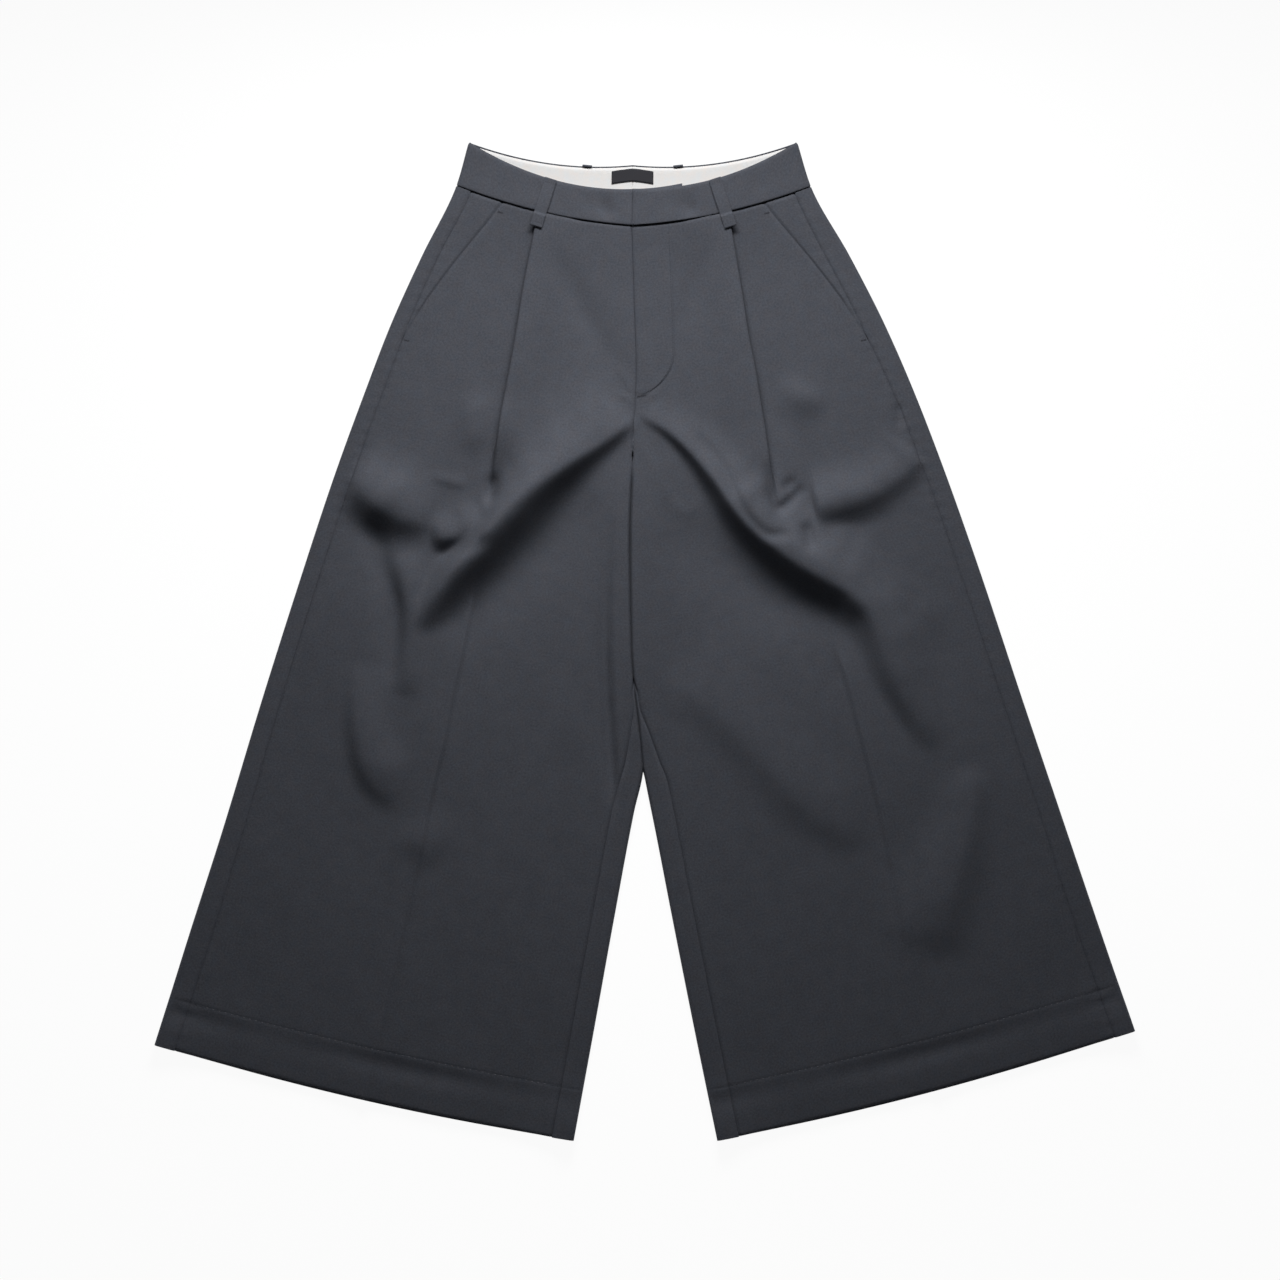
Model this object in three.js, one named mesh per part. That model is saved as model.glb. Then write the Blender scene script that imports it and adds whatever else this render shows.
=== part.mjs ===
// Pleated wide-leg trousers, laid face up on a flat surface.
//
// Millimetres. +Z is up, +Y points from the hems to the waist, and +X is the wearer's left. The origin lies
// on the surface under the middle of the garment. Each piece is a wall of cloth: an outer grid of points,
// the same grid moved in by the cloth's thickness, and the edges between them. The pieces meet at their
// seams with a narrow gap.
//
// Every row runs across one leg, from the centre line or the inner edge to the outer edge. A place on a row
// is its distance from the inner end, and `t` says which row: TOP at the waistband's edge, 0 at the waist
// seam, 1 at the hem.

import * as THREE from "three";

// Cloth
const CLOTH = 1.2; // wall of a leg panel
const BAND_CLOTH = 2.4; // outer cloth, interlining and turned edges of the waistband
const LINING_CLOTH = 1;
const LABEL_CLOTH = 0.8;
const LOOP_CLOTH = 1.5;
const GAP = 0.3; // left at each seam and between layers that touch

// The garment's outline, one row for each section. front and back are the heights of the centre line on the
// two layers, apart is how far each inner edge stands from it, and the bows are how far a row sags in its
// middle.
const TOP = -0.05;
const SECTIONS = [
  { t: TOP, centre: -13, front: 474.6, back: 500.3, apart: 0, frontBow: 14, backBow: 10 },
  { t: 0, centre: -13.4, front: 435.8, back: 457, apart: 0, frontBow: 7.5, backBow: 8.5 },
  { t: 0.08, centre: -11.3, front: 359, back: 371, apart: 0, frontBow: 5, backBow: 5 },
  { t: 0.16, centre: -9.2, front: 282.5, back: 286, apart: 0, frontBow: 3, backBow: 3 },
  { t: 0.24, centre: -12.6, front: 205.8, back: 205.8, apart: 0, frontBow: 2, backBow: 2 },
  { t: 0.34, centre: -15.8, front: 110.2, back: 110.2, apart: 0, frontBow: 2, backBow: 2 },
  { t: 0.46, centre: -14.2, front: -5.2, back: -5.2, apart: 0, frontBow: 2, backBow: 2 },
  { t: 0.59, centre: -2.4, front: -130, back: -130, apart: 0, frontBow: 3, backBow: 3 },
  { t: 0.605, centre: -1.6, front: -144.4, back: -144.4, apart: 1.6, frontBow: 3, backBow: 3 },
  { t: 0.64, centre: -2.3, front: -178, back: -178, apart: 9, frontBow: 3, backBow: 3 },
  { t: 0.75, centre: -1.9, front: -283.4, back: -283.4, apart: 29.2, frontBow: 4, backBow: 4.5 },
  { t: 0.88, centre: -0.8, front: -407.9, back: -407.9, apart: 52.8, frontBow: 5, backBow: 7 },
  { t: 1, centre: 0.5, front: -522.4, back: -522.4, apart: 75.1, frontBow: 4.5, backBow: 9 },
];

// Each leg's side, the row where its pressed crease starts, its outer edge, the width of the back panel
// that shows beside that edge, and the crease's place across the row.
const LEGS = {
  right: {
    side: -1,
    creased: 0.41,
    edge: [
      { t: TOP, x: -184.8, y: 524, turned: 16, crease: 0.535 },
      { t: 0, x: -197.9, y: 477.8, turned: 16, crease: 0.53 },
      { t: 0.08, x: -233.6, y: 405.7, turned: 16, crease: 0.515 },
      { t: 0.16, x: -266.2, y: 333.9, turned: 17, crease: 0.5 },
      { t: 0.24, x: -294, y: 261.8, turned: 18, crease: 0.493 },
      { t: 0.34, x: -326.6, y: 172.2, turned: 18, crease: 0.48 },
      { t: 0.46, x: -362.3, y: 64, turned: 18, crease: 0.49 },
      { t: 0.6, x: -402.2, y: -62, turned: 19, crease: 0.52 },
      { t: 0.75, x: -443.1, y: -197.2, turned: 21, crease: 0.51 },
      { t: 0.88, x: -480.4, y: -314, turned: 23, crease: 0.505 },
      { t: 1, x: -514, y: -422.1, turned: 22, crease: 0.5 },
    ],
  },
  left: {
    side: 1,
    creased: 0.49,
    edge: [
      { t: TOP, x: 159.6, y: 524, turned: 18, crease: 0.535 },
      { t: 0, x: 174.3, y: 476.7, turned: 18, crease: 0.53 },
      { t: 0.08, x: 214.2, y: 405.9, turned: 23, crease: 0.49 },
      { t: 0.16, x: 250.4, y: 335.3, turned: 23, crease: 0.464 },
      { t: 0.24, x: 281.4, y: 264.6, turned: 21, crease: 0.464 },
      { t: 0.34, x: 315.5, y: 176.1, turned: 20, crease: 0.463 },
      { t: 0.46, x: 352.8, y: 70, turned: 20, crease: 0.555 },
      { t: 0.6, x: 393.8, y: -53.8, turned: 20, crease: 0.575 },
      { t: 0.75, x: 438.4, y: -186.4, turned: 21, crease: 0.565 },
      { t: 0.88, x: 477.2, y: -301.4, turned: 23, crease: 0.54 },
      { t: 1, x: 513.5, y: -407.4, turned: 22, crease: 0.52 },
    ],
  },
};

// Height of the top surface along a row's inner end, its broad middle and its outer edge, before the folds
// are added, and of the underside, which the back belt loops hold off the surface at the waist. The band
// stands over the seam.
const SEAM = -0.0007; // the band ends short of the panels
const LOOP_BED = LOOP_CLOTH + GAP;
const HEIGHTS = [
  { t: TOP, inner: 8.9, middle: 8.9, outer: 9.6, under: LOOP_BED },
  { t: SEAM, inner: 8.9, middle: 9.3, outer: 9.6, under: LOOP_BED },
  { t: 0, inner: 7.6, middle: 7, outer: 8.4, under: LOOP_BED },
  { t: 0.022, inner: 6.8, middle: 6.2, outer: 8.4, under: LOOP_BED },
  { t: 0.07, inner: 6, middle: 5.8, outer: 7, under: 0 },
  { t: 0.16, inner: 7.6, middle: 6.8, outer: 6.6, under: 0 },
  { t: 0.24, inner: 11, middle: 8, outer: 6.6, under: 0 },
  { t: 0.34, inner: 10.6, middle: 8.8, outer: 6.6, under: 0 },
  { t: 0.46, inner: 10, middle: 8.8, outer: 6.6, under: 0 },
  { t: 0.6, inner: 8.8, middle: 8.2, outer: 6.6, under: 0 },
  { t: 0.75, inner: 7.6, middle: 7, outer: 6.8, under: 0 },
  { t: 0.93, inner: 7.4, middle: 6, outer: 7, under: 0 },
  { t: 1, inner: 7.6, middle: 5.9, outer: 7.6, under: 0 },
];
const EDGE_REACH = 48; // width over which a rolled edge settles
const LOWEST = 2 * CLOTH + GAP; // the front lies on the back

// Where the inseam lies on the rounded inner edge: its share of the half turn from underneath, then the
// distance past it on the top.
const INSEAM = [
  { t: 0.24, turn: 0.5, past: 0 },
  { t: 0.28, turn: 0.4, past: 0 },
  { t: 0.34, turn: 0.35, past: 0 },
  { t: 0.46, turn: 0.5, past: 0 },
  { t: 0.52, turn: 1, past: 0 },
  { t: 0.56, turn: 1, past: 8 },
  { t: 0.62, turn: 1, past: 19 },
  { t: 1, turn: 1, past: 20 },
];

// The largest soft folds, each a curved crest in plan. Its rises are spread evenly along it, and so are the
// distances over which it falls away: `easy` on the left of the way it runs and `steep` on the right. A
// trough is below zero.
const FOLDS = [
  {
    crest: [
      [-240, 14], [-220, 46], [-190, 84], [-161, 117],
      [-130, 151], [-100, 175], [-70, 195], [-18, 230],
    ],
    rises: [6, 16, 22, 24, 24, 21, 15, 7],
    easy: [14, 16, 22, 40, 50, 50],
    steep: [14, 20, 24, 22, 16, 10],
  },
  { crest: [[-200, 10], [-150, 60], [-90, 120]], rises: [-2, -4, -2], easy: [26], steep: [34] },
  {
    crest: [[-310, 178], [-290, 157], [-266, 139], [-224, 126]],
    rises: [6, 11, 10, 4],
    easy: [34, 40],
    steep: [16, 19, 12],
  },
  { crest: [[-220, 109], [-190, 113], [-166, 120]], rises: [9, 10, 9], easy: [20], steep: [13] },
  {
    crest: [[-266, 110], [-258, 70], [-247, 38], [-250, -4], [-252, -34]],
    rises: [5, 8, 7],
    easy: [26],
    steep: [14],
  },
  { crest: [[-300, -24], [-301, -80], [-284, -146]], rises: [3, 7, 4], easy: [32], steep: [16] },
  { crest: [[-28, 150], [-32, 86], [-33, -82], [-30, -160]], rises: [4, 6, 6, 4], easy: [12], steep: [12] },
  { crest: [[-352, 86], [-289, 2], [-226, -134]], rises: [3], easy: [76], steep: [76] },
  {
    crest: [[10, 230], [52, 195], [94, 140], [147, 92], [204, 60], [240, 22], [262, -40], [292, -88]],
    rises: [6, 14, 20, 22, 20, 12, 8, 1],
    easy: [20, 34, 46, 46, 36, 20],
    steep: [8, 14, 20, 18, 15, 13],
  },
  { crest: [[40, 120], [98, 66], [160, 30]], rises: [-2, -4, -2], easy: [26], steep: [34] },
  {
    crest: [[176, 142], [215, 147], [247, 163], [286, 192]],
    rises: [12, 12, 9, 5],
    easy: [32],
    steep: [19, 16, 12],
  },
  {
    crest: [[304, -318], [318, -262], [332, -214], [344, -138]],
    rises: [3, 6.5, 5, 4],
    easy: [44, 36],
    steep: [30, 16],
  },
  {
    crest: [[36, -42], [112, -108], [150, -152], [226, -196]],
    rises: [3, 5.5, 5.5, 4],
    easy: [56],
    steep: [24],
  },
  { crest: [[121, -8], [215, -124], [331, -124]], rises: [3], easy: [80], steep: [80] },
];

// Front pleat: one on each side, folded towards the side seam under the belt loop and open by the thigh.
const PLEAT_DEPTH = 18;
const PLEAT_OPENS = [0.2, 0.33]; // rows between which the fold turns over and lies flat
const PLEAT_APPROACH = 3; // length of cloth laid flat before the folded edge
const PLEAT_SPREAD = 50; // width over which the cloth climbs onto the fold
const CREASE_STEP = 2.5; // spacing of the fold's points once it has opened into the crease
const CREASE_RISE = 1.5;
const CREASE_FADE = 0.08; // length, in rows, over which the pressed crease comes up

// Fly: the wearer's left front laps over the right, with a facing behind it that ends in a curve.
const FLY_FOOT = 0.186;
const FLY_WIDTH = 40;
const FLY_STEP = 3;
const FLY_LEAST = 12;
const FLY_CURVE = 0.045; // length of the curved foot, in rows
const FLY_LAP = CLOTH + GAP;
const TAB_LENGTH = 54; // waistband of the right side, lying under the left
const TAB_RISE = 3; // how far the tab's end shows above the band that covers it

// Slant pocket: from the waist seam to the side seam.
const POCKET_FOOT = 0.18;
const POCKET_TOP = 0.735; // share of the row at the waist seam
const POCKET_CURVE = 0.03;
const POCKET_TUCK = 6; // how far the side piece runs on under the front
const POCKET_RAMP = 6;

// Belt loops, as shares of the row at their two ends
const LOOP_WIDTH = 13;
const LOOP_END = 0.018;
const FRONT_LOOP = { top: 0.497, foot: 0.527 };
const LOOP_SLACK = 1.2;
const LOOP_CLEAR = 0.6;
const BACK_LOOP_AT = 0.277;
const BACK_LOOP_WIDTH = 10;
const BACK_LOOP_LAP = 3.5; // turned over the waistband's top edge
const LOOP_ROOM = 1.4;

// Label sewn to the lining at the centre back
const LABEL = { width: 44, from: -0.0434, to: -0.0277, arch: 1.6 };
const LINING_INSET = 2; // outer cloth that shows as a line above the lining
const LINING_SIDE = 9; // how far the lining stops short of the side edge

// Hem: turned up and stitched, so the wall is double below the stitching.
const HEM_LINE = 0.945;
const CORNER_LIFT = 3.5; // the hem's corners curl off the surface
const CORNER_REACH = 80;

// Rows used by all leg panels, as stretches of equal steps
const ROW_STRETCHES = [
  { to: 0.2, steps: 6 },
  { to: 0.24, steps: 2 },
  { to: 0.26, steps: 1 },
  { to: 0.56, steps: 16 },
  { to: HEM_LINE - 0.001, steps: 6 },
  { to: HEM_LINE + 0.001, steps: 1 },
  { to: 1, steps: 2 },
];
const BAND_STEPS = 3;
const CROTCH = 0.235; // rows above it are open at the centre line, rows below close round the inner edge
const TURN_STEPS = 4; // flat faces round a turned edge

const lerp = (a, b, share) => a + (b - a) * share;
const clamp01 = (x) => Math.min(1, Math.max(0, x));
const smooth = (x) => clamp01(x) ** 2 * (3 - 2 * clamp01(x));

// Reads a column of a table at t, on a curve through its rows that never swings past them.
function at(table, column, t) {
  const last = table.length - 1;
  const slope = (i) =>
    (table[i + 1][column] - table[i][column]) / (table[i + 1].t - table[i].t);
  const tangent = (i) => {
    if (i === 0) return slope(0);
    if (i === last) return slope(last - 1);
    const before = slope(i - 1);
    const after = slope(i);
    return before * after > 0 ? (2 * before * after) / (before + after) : 0;
  };
  if (t <= table[0].t) return table[0][column];
  if (t >= table[last].t) return table[last][column];
  const i = table.findIndex((row) => row.t > t) - 1;
  const span = table[i + 1].t - table[i].t;
  const u = (t - table[i].t) / span;
  const start = table[i][column];
  const end = table[i + 1][column];
  const bend = (1 - u) * tangent(i) - u * tangent(i + 1);
  const ease = u * u * (3 - 2 * u);
  return lerp(start, end, ease) + span * u * (1 - u) * bend;
}

// One row of a leg: its two ends in plan, its width, its heights and the radii of its turned edges.
function rowOf(leg, t, layer = "front") {
  const away = at(SECTIONS, "apart", t) + GAP / 2;
  const inner = new THREE.Vector2(
    at(SECTIONS, "centre", t) + leg.side * away,
    at(SECTIONS, layer, t),
  );
  const outer = new THREE.Vector2(at(leg.edge, "x", t), at(leg.edge, "y", t));
  const under = at(HEIGHTS, "under", t);
  return {
    t,
    leg,
    inner,
    outer,
    under,
    width: inner.distanceTo(outer),
    bow: at(SECTIONS, layer + "Bow", t),
    innerRadius: (at(HEIGHTS, "inner", t) - under) / 2,
    outerRadius: (at(HEIGHTS, "outer", t) - under) / 2,
    seam: inner.distanceTo(outer) - at(leg.edge, "turned", t),
    open: t < CROTCH,
  };
}

// The place in plan at a distance along a row.
function planOf(row, distance) {
  const share = distance / row.width;
  const place = row.inner.clone().lerp(row.outer, share);
  place.y -= row.bow * 4 * clamp01(share) * (1 - clamp01(share));
  return place;
}

// How far the corners of the hem curl up.
function liftOf(row, distance) {
  const down = smooth((row.t - 1) * (1000 / CORNER_REACH) + 1);
  const across = Math.min(distance, row.width - distance);
  return CORNER_LIFT * down * smooth(1 - across / CORNER_REACH);
}

// A fold is a row of short soft strokes along its crest. Where ridges cross, the higher one prevails.
const STROKE = 9; // spacing of the strokes
const STROKE_FADE = 15; // distance over which a stroke fades out ahead and behind
const FOLD_FADE = 30; // distance from an edge over which the folds come in

// Reads a list that is spread evenly over a length.
const along = (values, share) => {
  const place = share * (values.length - 1);
  const i = Math.min(Math.floor(place), values.length - 2);
  return i < 0 ? values[0] : lerp(values[i], values[i + 1], place - i);
};

const STROKES = FOLDS.map(({ crest, rises, easy, steep }) => {
  const curve = new THREE.SplineCurve(crest.map(([x, y]) => new THREE.Vector2(x, y)));
  const count = Math.round(curve.getLength() / STROKE);
  const spacing = curve.getLength() / count;
  return Array.from({ length: count }, (_, k) => {
    const share = (k + 0.5) / count;
    return {
      place: curve.getPointAt(share),
      way: curve.getTangentAt(share),
      rise: (along(rises, share) * spacing) / (STROKE_FADE * Math.sqrt(Math.PI)),
      easy: along(easy, share),
      steep: along(steep, share),
    };
  });
});

function foldsAt(point) {
  const heights = STROKES.map((strokes) =>
    strokes.reduce((sum, { place, way, rise, easy, steep }) => {
      const off = point.clone().sub(place);
      const left = way.cross(off);
      const reach = left > 0 ? easy : steep;
      return sum + rise * Math.exp(-((off.dot(way) / STROKE_FADE) ** 2) - (left / reach) ** 2);
    }, 0),
  );
  const ridges = heights.reduce((sum, height) => sum + Math.max(height, 0) ** 3, 0);
  const troughs = heights.reduce((sum, height) => sum + Math.min(height, 0), 0);
  return Math.cbrt(ridges) + troughs;
}

// The pleat's turned cloth on one row: how far it has opened, and its parts' lengths and angles. The fold
// turns through `angle`: a nose at the folded edge, the hidden middle layer, and a heel where the lower
// layer starts.
function pleatOf(t) {
  const opened = smooth((t - PLEAT_OPENS[0]) / (PLEAT_OPENS[1] - PLEAT_OPENS[0]));
  const angle = Math.PI * (1 - opened);
  const spare = CREASE_STEP * opened;
  const depth = PLEAT_DEPTH * clamp01(1 - t / PLEAT_OPENS[1]) + spare + GAP;
  const nose = 2 * CLOTH * Math.tan(angle / 4) + GAP + spare;
  const heel = GAP + spare;
  const parts = [
    { length: nose, angle: angle / 2 },
    { length: depth, angle },
    { length: heel, angle: angle / 2 },
  ];
  const drop = parts.reduce((sum, p) => sum + p.length * Math.sin(p.angle), 0);
  return { parts, drop };
}

// Distance of the fly facing's edge from the centre line. It curves in to its foot.
function flyEdgeAt(t) {
  const foot = clamp01((t - FLY_FOOT + FLY_CURVE) / FLY_CURVE);
  return Math.max(FLY_WIDTH * Math.sqrt(1 - foot ** 2), FLY_LEAST);
}

// Extra height of the fly's lap and facing on the wearer's left.
function flyAt(row, distance) {
  if (row.leg.side < 0 || row.t > FLY_FOOT) return 0;
  if (row.t < 0) return (BAND_CLOTH + GAP) * smooth(1 - (distance - TAB_LENGTH) / TAB_LENGTH);
  return FLY_LAP * clamp01(1 - (distance - flyEdgeAt(row.t)) / FLY_STEP);
}

// Height of the top surface, without the pleat's fold.
function topAt(row, distance) {
  const { innerRadius, outerRadius, width, under, t, open } = row;
  const fromInner = distance - (open ? 0 : innerRadius);
  const fromOuter = width - outerRadius - distance;
  const middle = at(HEIGHTS, "middle", t);
  const rolled = (radius, away) => (under + 2 * radius - middle) * smooth(1 - away / EDGE_REACH);
  const edges = rolled(innerRadius, fromInner) + rolled(outerRadius, fromOuter);
  const windowed = smooth(fromOuter / FOLD_FADE) * (open ? 1 : smooth(fromInner / FOLD_FADE));
  const folds = t < 0 ? 0 : windowed * foldsAt(planOf(row, distance));
  return Math.max(middle + edges + folds, under + LOWEST) + flyAt(row, distance);
}

// A point of a section: its row, its distance along it, its height, and its place across the section, which
// is measured from the outer edge so that it runs on from one layer to the other.
const pointAt = (row, d, z) => ({ row, d, z, x: d - row.width, way: 1 });

// A point of the closed ring round a leg. The arc length starts under the inner edge.
function ringPoint(row, arc) {
  const { innerRadius: r, under } = row;
  const halfTurn = Math.PI * r;
  if (!row.open && arc < halfTurn) {
    const angle = arc / r;
    const normal = new THREE.Vector2(-Math.sin(angle), -Math.cos(angle));
    const point = pointAt(row, r * (1 - Math.sin(angle)), under + r * (1 - Math.cos(angle)));
    return { ...point, normal };
  }
  const d = r + arc - halfTurn;
  return pointAt(row, d, topAt(row, d));
}

const arcOfTop = (row, distance) => (Math.PI - 1) * row.innerRadius + distance;
const arcOfInseam = (row) =>
  at(INSEAM, "turn", row.t) * Math.PI * row.innerRadius + at(INSEAM, "past", row.t);

// Moves a section's points in by the cloth's thickness, square to the section, with mitred corners. The
// section runs with its outer side on the left of its travel.
function insetSection(points, thickness) {
  const normals = points.slice(1).map((p, i) => {
    const along = new THREE.Vector2(p.x - points[i].x, p.z - points[i].z).normalize();
    return new THREE.Vector2(-along.y, along.x);
  });
  return points.map((p, i) => {
    const before = p.normal ?? normals[Math.max(0, i - 1)];
    const after = p.normal ?? normals[Math.min(normals.length - 1, i)];
    const scale = thickness / (1 + before.dot(after));
    const move = (before.x + after.x) * scale;
    return { ...p, d: p.d - move * p.way, z: p.z - (before.y + after.y) * scale };
  });
}

// Places a section's points on its rows.
function placeSection(points) {
  return points.map(({ row, d, z, raised = 0 }) => {
    const plan = planOf(row, d);
    return new THREE.Vector3(plan.x, plan.y + raised, z + liftOf(row, d));
  });
}

// Closes two grids of points, which match point for point, into one solid.
function solidBetween(outer, inner) {
  const rows = outer.length;
  const columns = outer[0].length;
  const points = [...outer.flat(), ...inner.flat()];
  const id = (i, j, layer) => layer * rows * columns + i * columns + j;
  const index = [];
  const quad = (a, b, c, d) => index.push(a, b, c, a, c, d);
  for (let i = 0; i + 1 < rows; i++) {
    for (let j = 0; j + 1 < columns; j++) {
      quad(id(i, j, 0), id(i + 1, j, 0), id(i + 1, j + 1, 0), id(i, j + 1, 0));
      const [a, b, c, d] = [id(i, j, 1), id(i + 1, j, 1), id(i + 1, j + 1, 1), id(i, j + 1, 1)];
      index.push(a, c, b, a, d, c);
    }
    quad(id(i, 0, 1), id(i + 1, 0, 1), id(i + 1, 0, 0), id(i, 0, 0));
    const end = columns - 1;
    quad(id(i, end, 0), id(i + 1, end, 0), id(i + 1, end, 1), id(i, end, 1));
  }
  for (let j = 0; j + 1 < columns; j++) {
    const end = rows - 1;
    quad(id(0, j, 0), id(0, j + 1, 0), id(0, j + 1, 1), id(0, j, 1));
    quad(id(end, j, 1), id(end, j + 1, 1), id(end, j + 1, 0), id(end, j, 0));
  }
  const volume = index.reduce((sum, _, k) => {
    if (k % 3) return sum;
    const [a, b, c] = [0, 1, 2].map((n) => points[index[k + n]]);
    return sum + a.dot(new THREE.Vector3().crossVectors(b, c));
  }, 0);
  if (volume < 0) index.reverse();
  const geometry = new THREE.BufferGeometry().setFromPoints(points);
  geometry.setIndex(index);
  return geometry.toNonIndexed();
}

const cloth = (color, roughness = 0.92) =>
  new THREE.MeshStandardMaterial({ color, roughness, metalness: 0 });
const MATERIALS = {
  twill: cloth(0x4a4d54),
  lining: cloth(0xf2f0ec),
  label: cloth(0x232326, 0.7),
};

function pieceOf(name, outer, inner, material) {
  const mesh = new THREE.Mesh(solidBetween(outer, inner), material);
  mesh.geometry.computeVertexNormals();
  mesh.name = name;
  return mesh;
}

const evenly = (from, to, steps) =>
  Array.from({ length: steps + 1 }, (_, k) => lerp(from, to, k / steps));

const PANEL_ROWS = (() => {
  const rows = [0];
  for (const { to, steps } of ROW_STRETCHES) {
    rows.push(...evenly(rows.at(-1), to, steps).slice(1));
  }
  return rows;
})();

const wallAt = (t) => CLOTH * (t > HEM_LINE ? 2 : 1);

// The slant pocket's mouth, or below it the side seam, as a distance along the row.
function frontEnd(row) {
  const down = row.t / POCKET_FOOT;
  if (down >= 1) return row.seam;
  const bulge = POCKET_CURVE * 4 * down * (1 - down);
  const mouth = row.width * (lerp(POCKET_TOP, row.seam / row.width, down) + bulge);
  return Math.min(mouth, row.seam);
}

// Front panel: from the centre line or inseam, over the pleat, to the pocket mouth or side seam.
const FRONT_MIDDLE_STEPS = 9;
const FRONT_SIDE_STEPS = 12;
function frontSection(leg, t) {
  const row = rowOf(leg, t);
  const start = row.open ? arcOfTop(row, GAP / 2) : arcOfInseam(row) + GAP / 2;
  const flyEdge = arcOfTop(row, flyEdgeAt(t));
  const turned = row.open ? flyEdge : Math.max(Math.PI * row.innerRadius, start + 10);
  const arcs = [...evenly(start, turned, TURN_STEPS), row.open ? flyEdge + FLY_STEP : turned + 30];
  const near = arcs.map((arc) => ringPoint(row, arc));

  const edge = at(leg.edge, "crease", t) * row.width;
  const { parts, drop } = pleatOf(t);
  const crease = CREASE_RISE * smooth((t - leg.creased) / CREASE_FADE);
  const fold = [
    { d: edge - PLEAT_APPROACH, rise: drop },
    { d: edge, rise: drop },
  ];
  for (const part of parts) {
    const { d, rise } = fold.at(-1);
    fold.push({
      d: d + part.length * Math.cos(part.angle),
      rise: rise - part.length * Math.sin(part.angle),
    });
  }
  fold[2].rise += crease;
  fold[3].rise += crease;
  const middle = evenly(near.at(-1).d, fold[0].d, FRONT_MIDDLE_STEPS)
    .slice(1, -1)
    .map((d) => pointAt(row, d, surfaceAt(row, d)));
  const folded = fold.map(({ d, rise }) => pointAt(row, d, topAt(row, edge) + rise));
  const side = evenly(
    Math.max(edge, folded.at(-1).d) + 2 * PLEAT_APPROACH,
    frontEnd(row) - GAP / 2,
    FRONT_SIDE_STEPS,
  ).map((d) => pointAt(row, d, topAt(row, d)));
  return [...near, ...middle, ...folded, ...side];
}

// Height of the front on the centre's side of the pleat, which climbs onto the fold.
function surfaceAt(row, distance) {
  const edge = at(row.leg.edge, "crease", row.t) * row.width;
  const away = edge - distance;
  const climbed = row.t < 0 || away < 0 ? 0 : pleatOf(row.t).drop * smooth(1 - away / PLEAT_SPREAD);
  return topAt(row, distance) + climbed;
}

// The turned outer edge, from the top of the front layer to the underside of the back one.
function outerTurn(front, back) {
  return evenly(0, Math.PI, TURN_STEPS).map((angle) => {
    const row = angle > Math.PI / 2 ? back : front;
    const { outerRadius: r, under, width } = row;
    return pointAt(row, width - r + r * Math.sin(angle), under + r * (1 + Math.cos(angle)));
  });
}

// Back panel: from the side seam on the front, round the outer edge, across underneath, and round the inner
// edge to the inseam. Above the crotch it stops at the centre seam underneath.
const BACK_FLAT = [
  { fromOuter: 22, share: 0 },
  { fromOuter: 45, share: 0 },
  { fromOuter: 70, share: 0 },
  { fromOuter: 70, share: 0.4 },
  { fromOuter: 70, share: 0.8 },
  { fromOuter: 70, share: 0.91 },
  { fromOuter: 70, share: 1 },
];
const INNER_ZONE = 16;
const INNER_STEPS = { flat: 1, turn: TURN_STEPS, past: 2 };
function backSection(leg, t) {
  const front = rowOf(leg, t);
  const back = rowOf(leg, t, "back");
  const lap = evenly(front.seam + GAP / 2, front.width - front.outerRadius, 2)
    .slice(0, -1)
    .map((d) => pointAt(front, d, topAt(front, d)));
  const { innerRadius, under } = back;
  const zone = (back.open ? GAP / 2 : innerRadius) + INNER_ZONE;
  const edge = back.width - back.outerRadius;
  const flat = BACK_FLAT.map(({ fromOuter, share }) =>
    pointAt(back, lerp(edge - fromOuter, zone, share), under),
  );
  const { flat: flatSteps, turn: turnSteps, past: pastSteps } = INNER_STEPS;
  if (back.open) {
    const close = evenly(zone, GAP / 2, flatSteps + turnSteps + pastSteps)
      .slice(1)
      .map((d) => pointAt(back, d, under));
    return [...lap, ...outerTurn(front, back), ...flat, ...close];
  }
  const reach = arcOfInseam(back) - GAP / 2;
  const turned = Math.min(0.8 * reach, Math.PI * innerRadius);
  const arcs = [
    ...evenly(0, turned, turnSteps),
    ...evenly(turned, reach, pastSteps).slice(1),
  ];
  const close = arcs.map((arc) => ringPoint(arc > (Math.PI / 2) * innerRadius ? front : back, arc));
  return [...lap, ...outerTurn(front, back), ...flat, ...close];
}

// Side piece under the slant pocket: it runs on under the front and rises to meet the back at the side
// seam.
const POCKET_STEPS = 4;
function pocketSection(leg, t) {
  const row = rowOf(leg, t);
  const mouth = frontEnd(row);
  const end = row.seam - GAP / 2;
  const far = Math.max(end, mouth + 12);
  const across = [mouth - POCKET_TUCK, mouth, ...evenly(mouth + POCKET_RAMP, far, POCKET_STEPS)];
  const fit = Math.min(1, (end - across[0]) / (across.at(-1) - across[0]));
  return across.map((place) => {
    const d = across[0] + (place - across[0]) * fit;
    const sunk = (CLOTH + GAP) * smooth(1 - (d - mouth) / POCKET_RAMP);
    return pointAt(row, d, topAt(row, d) - sunk);
  });
}

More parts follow.
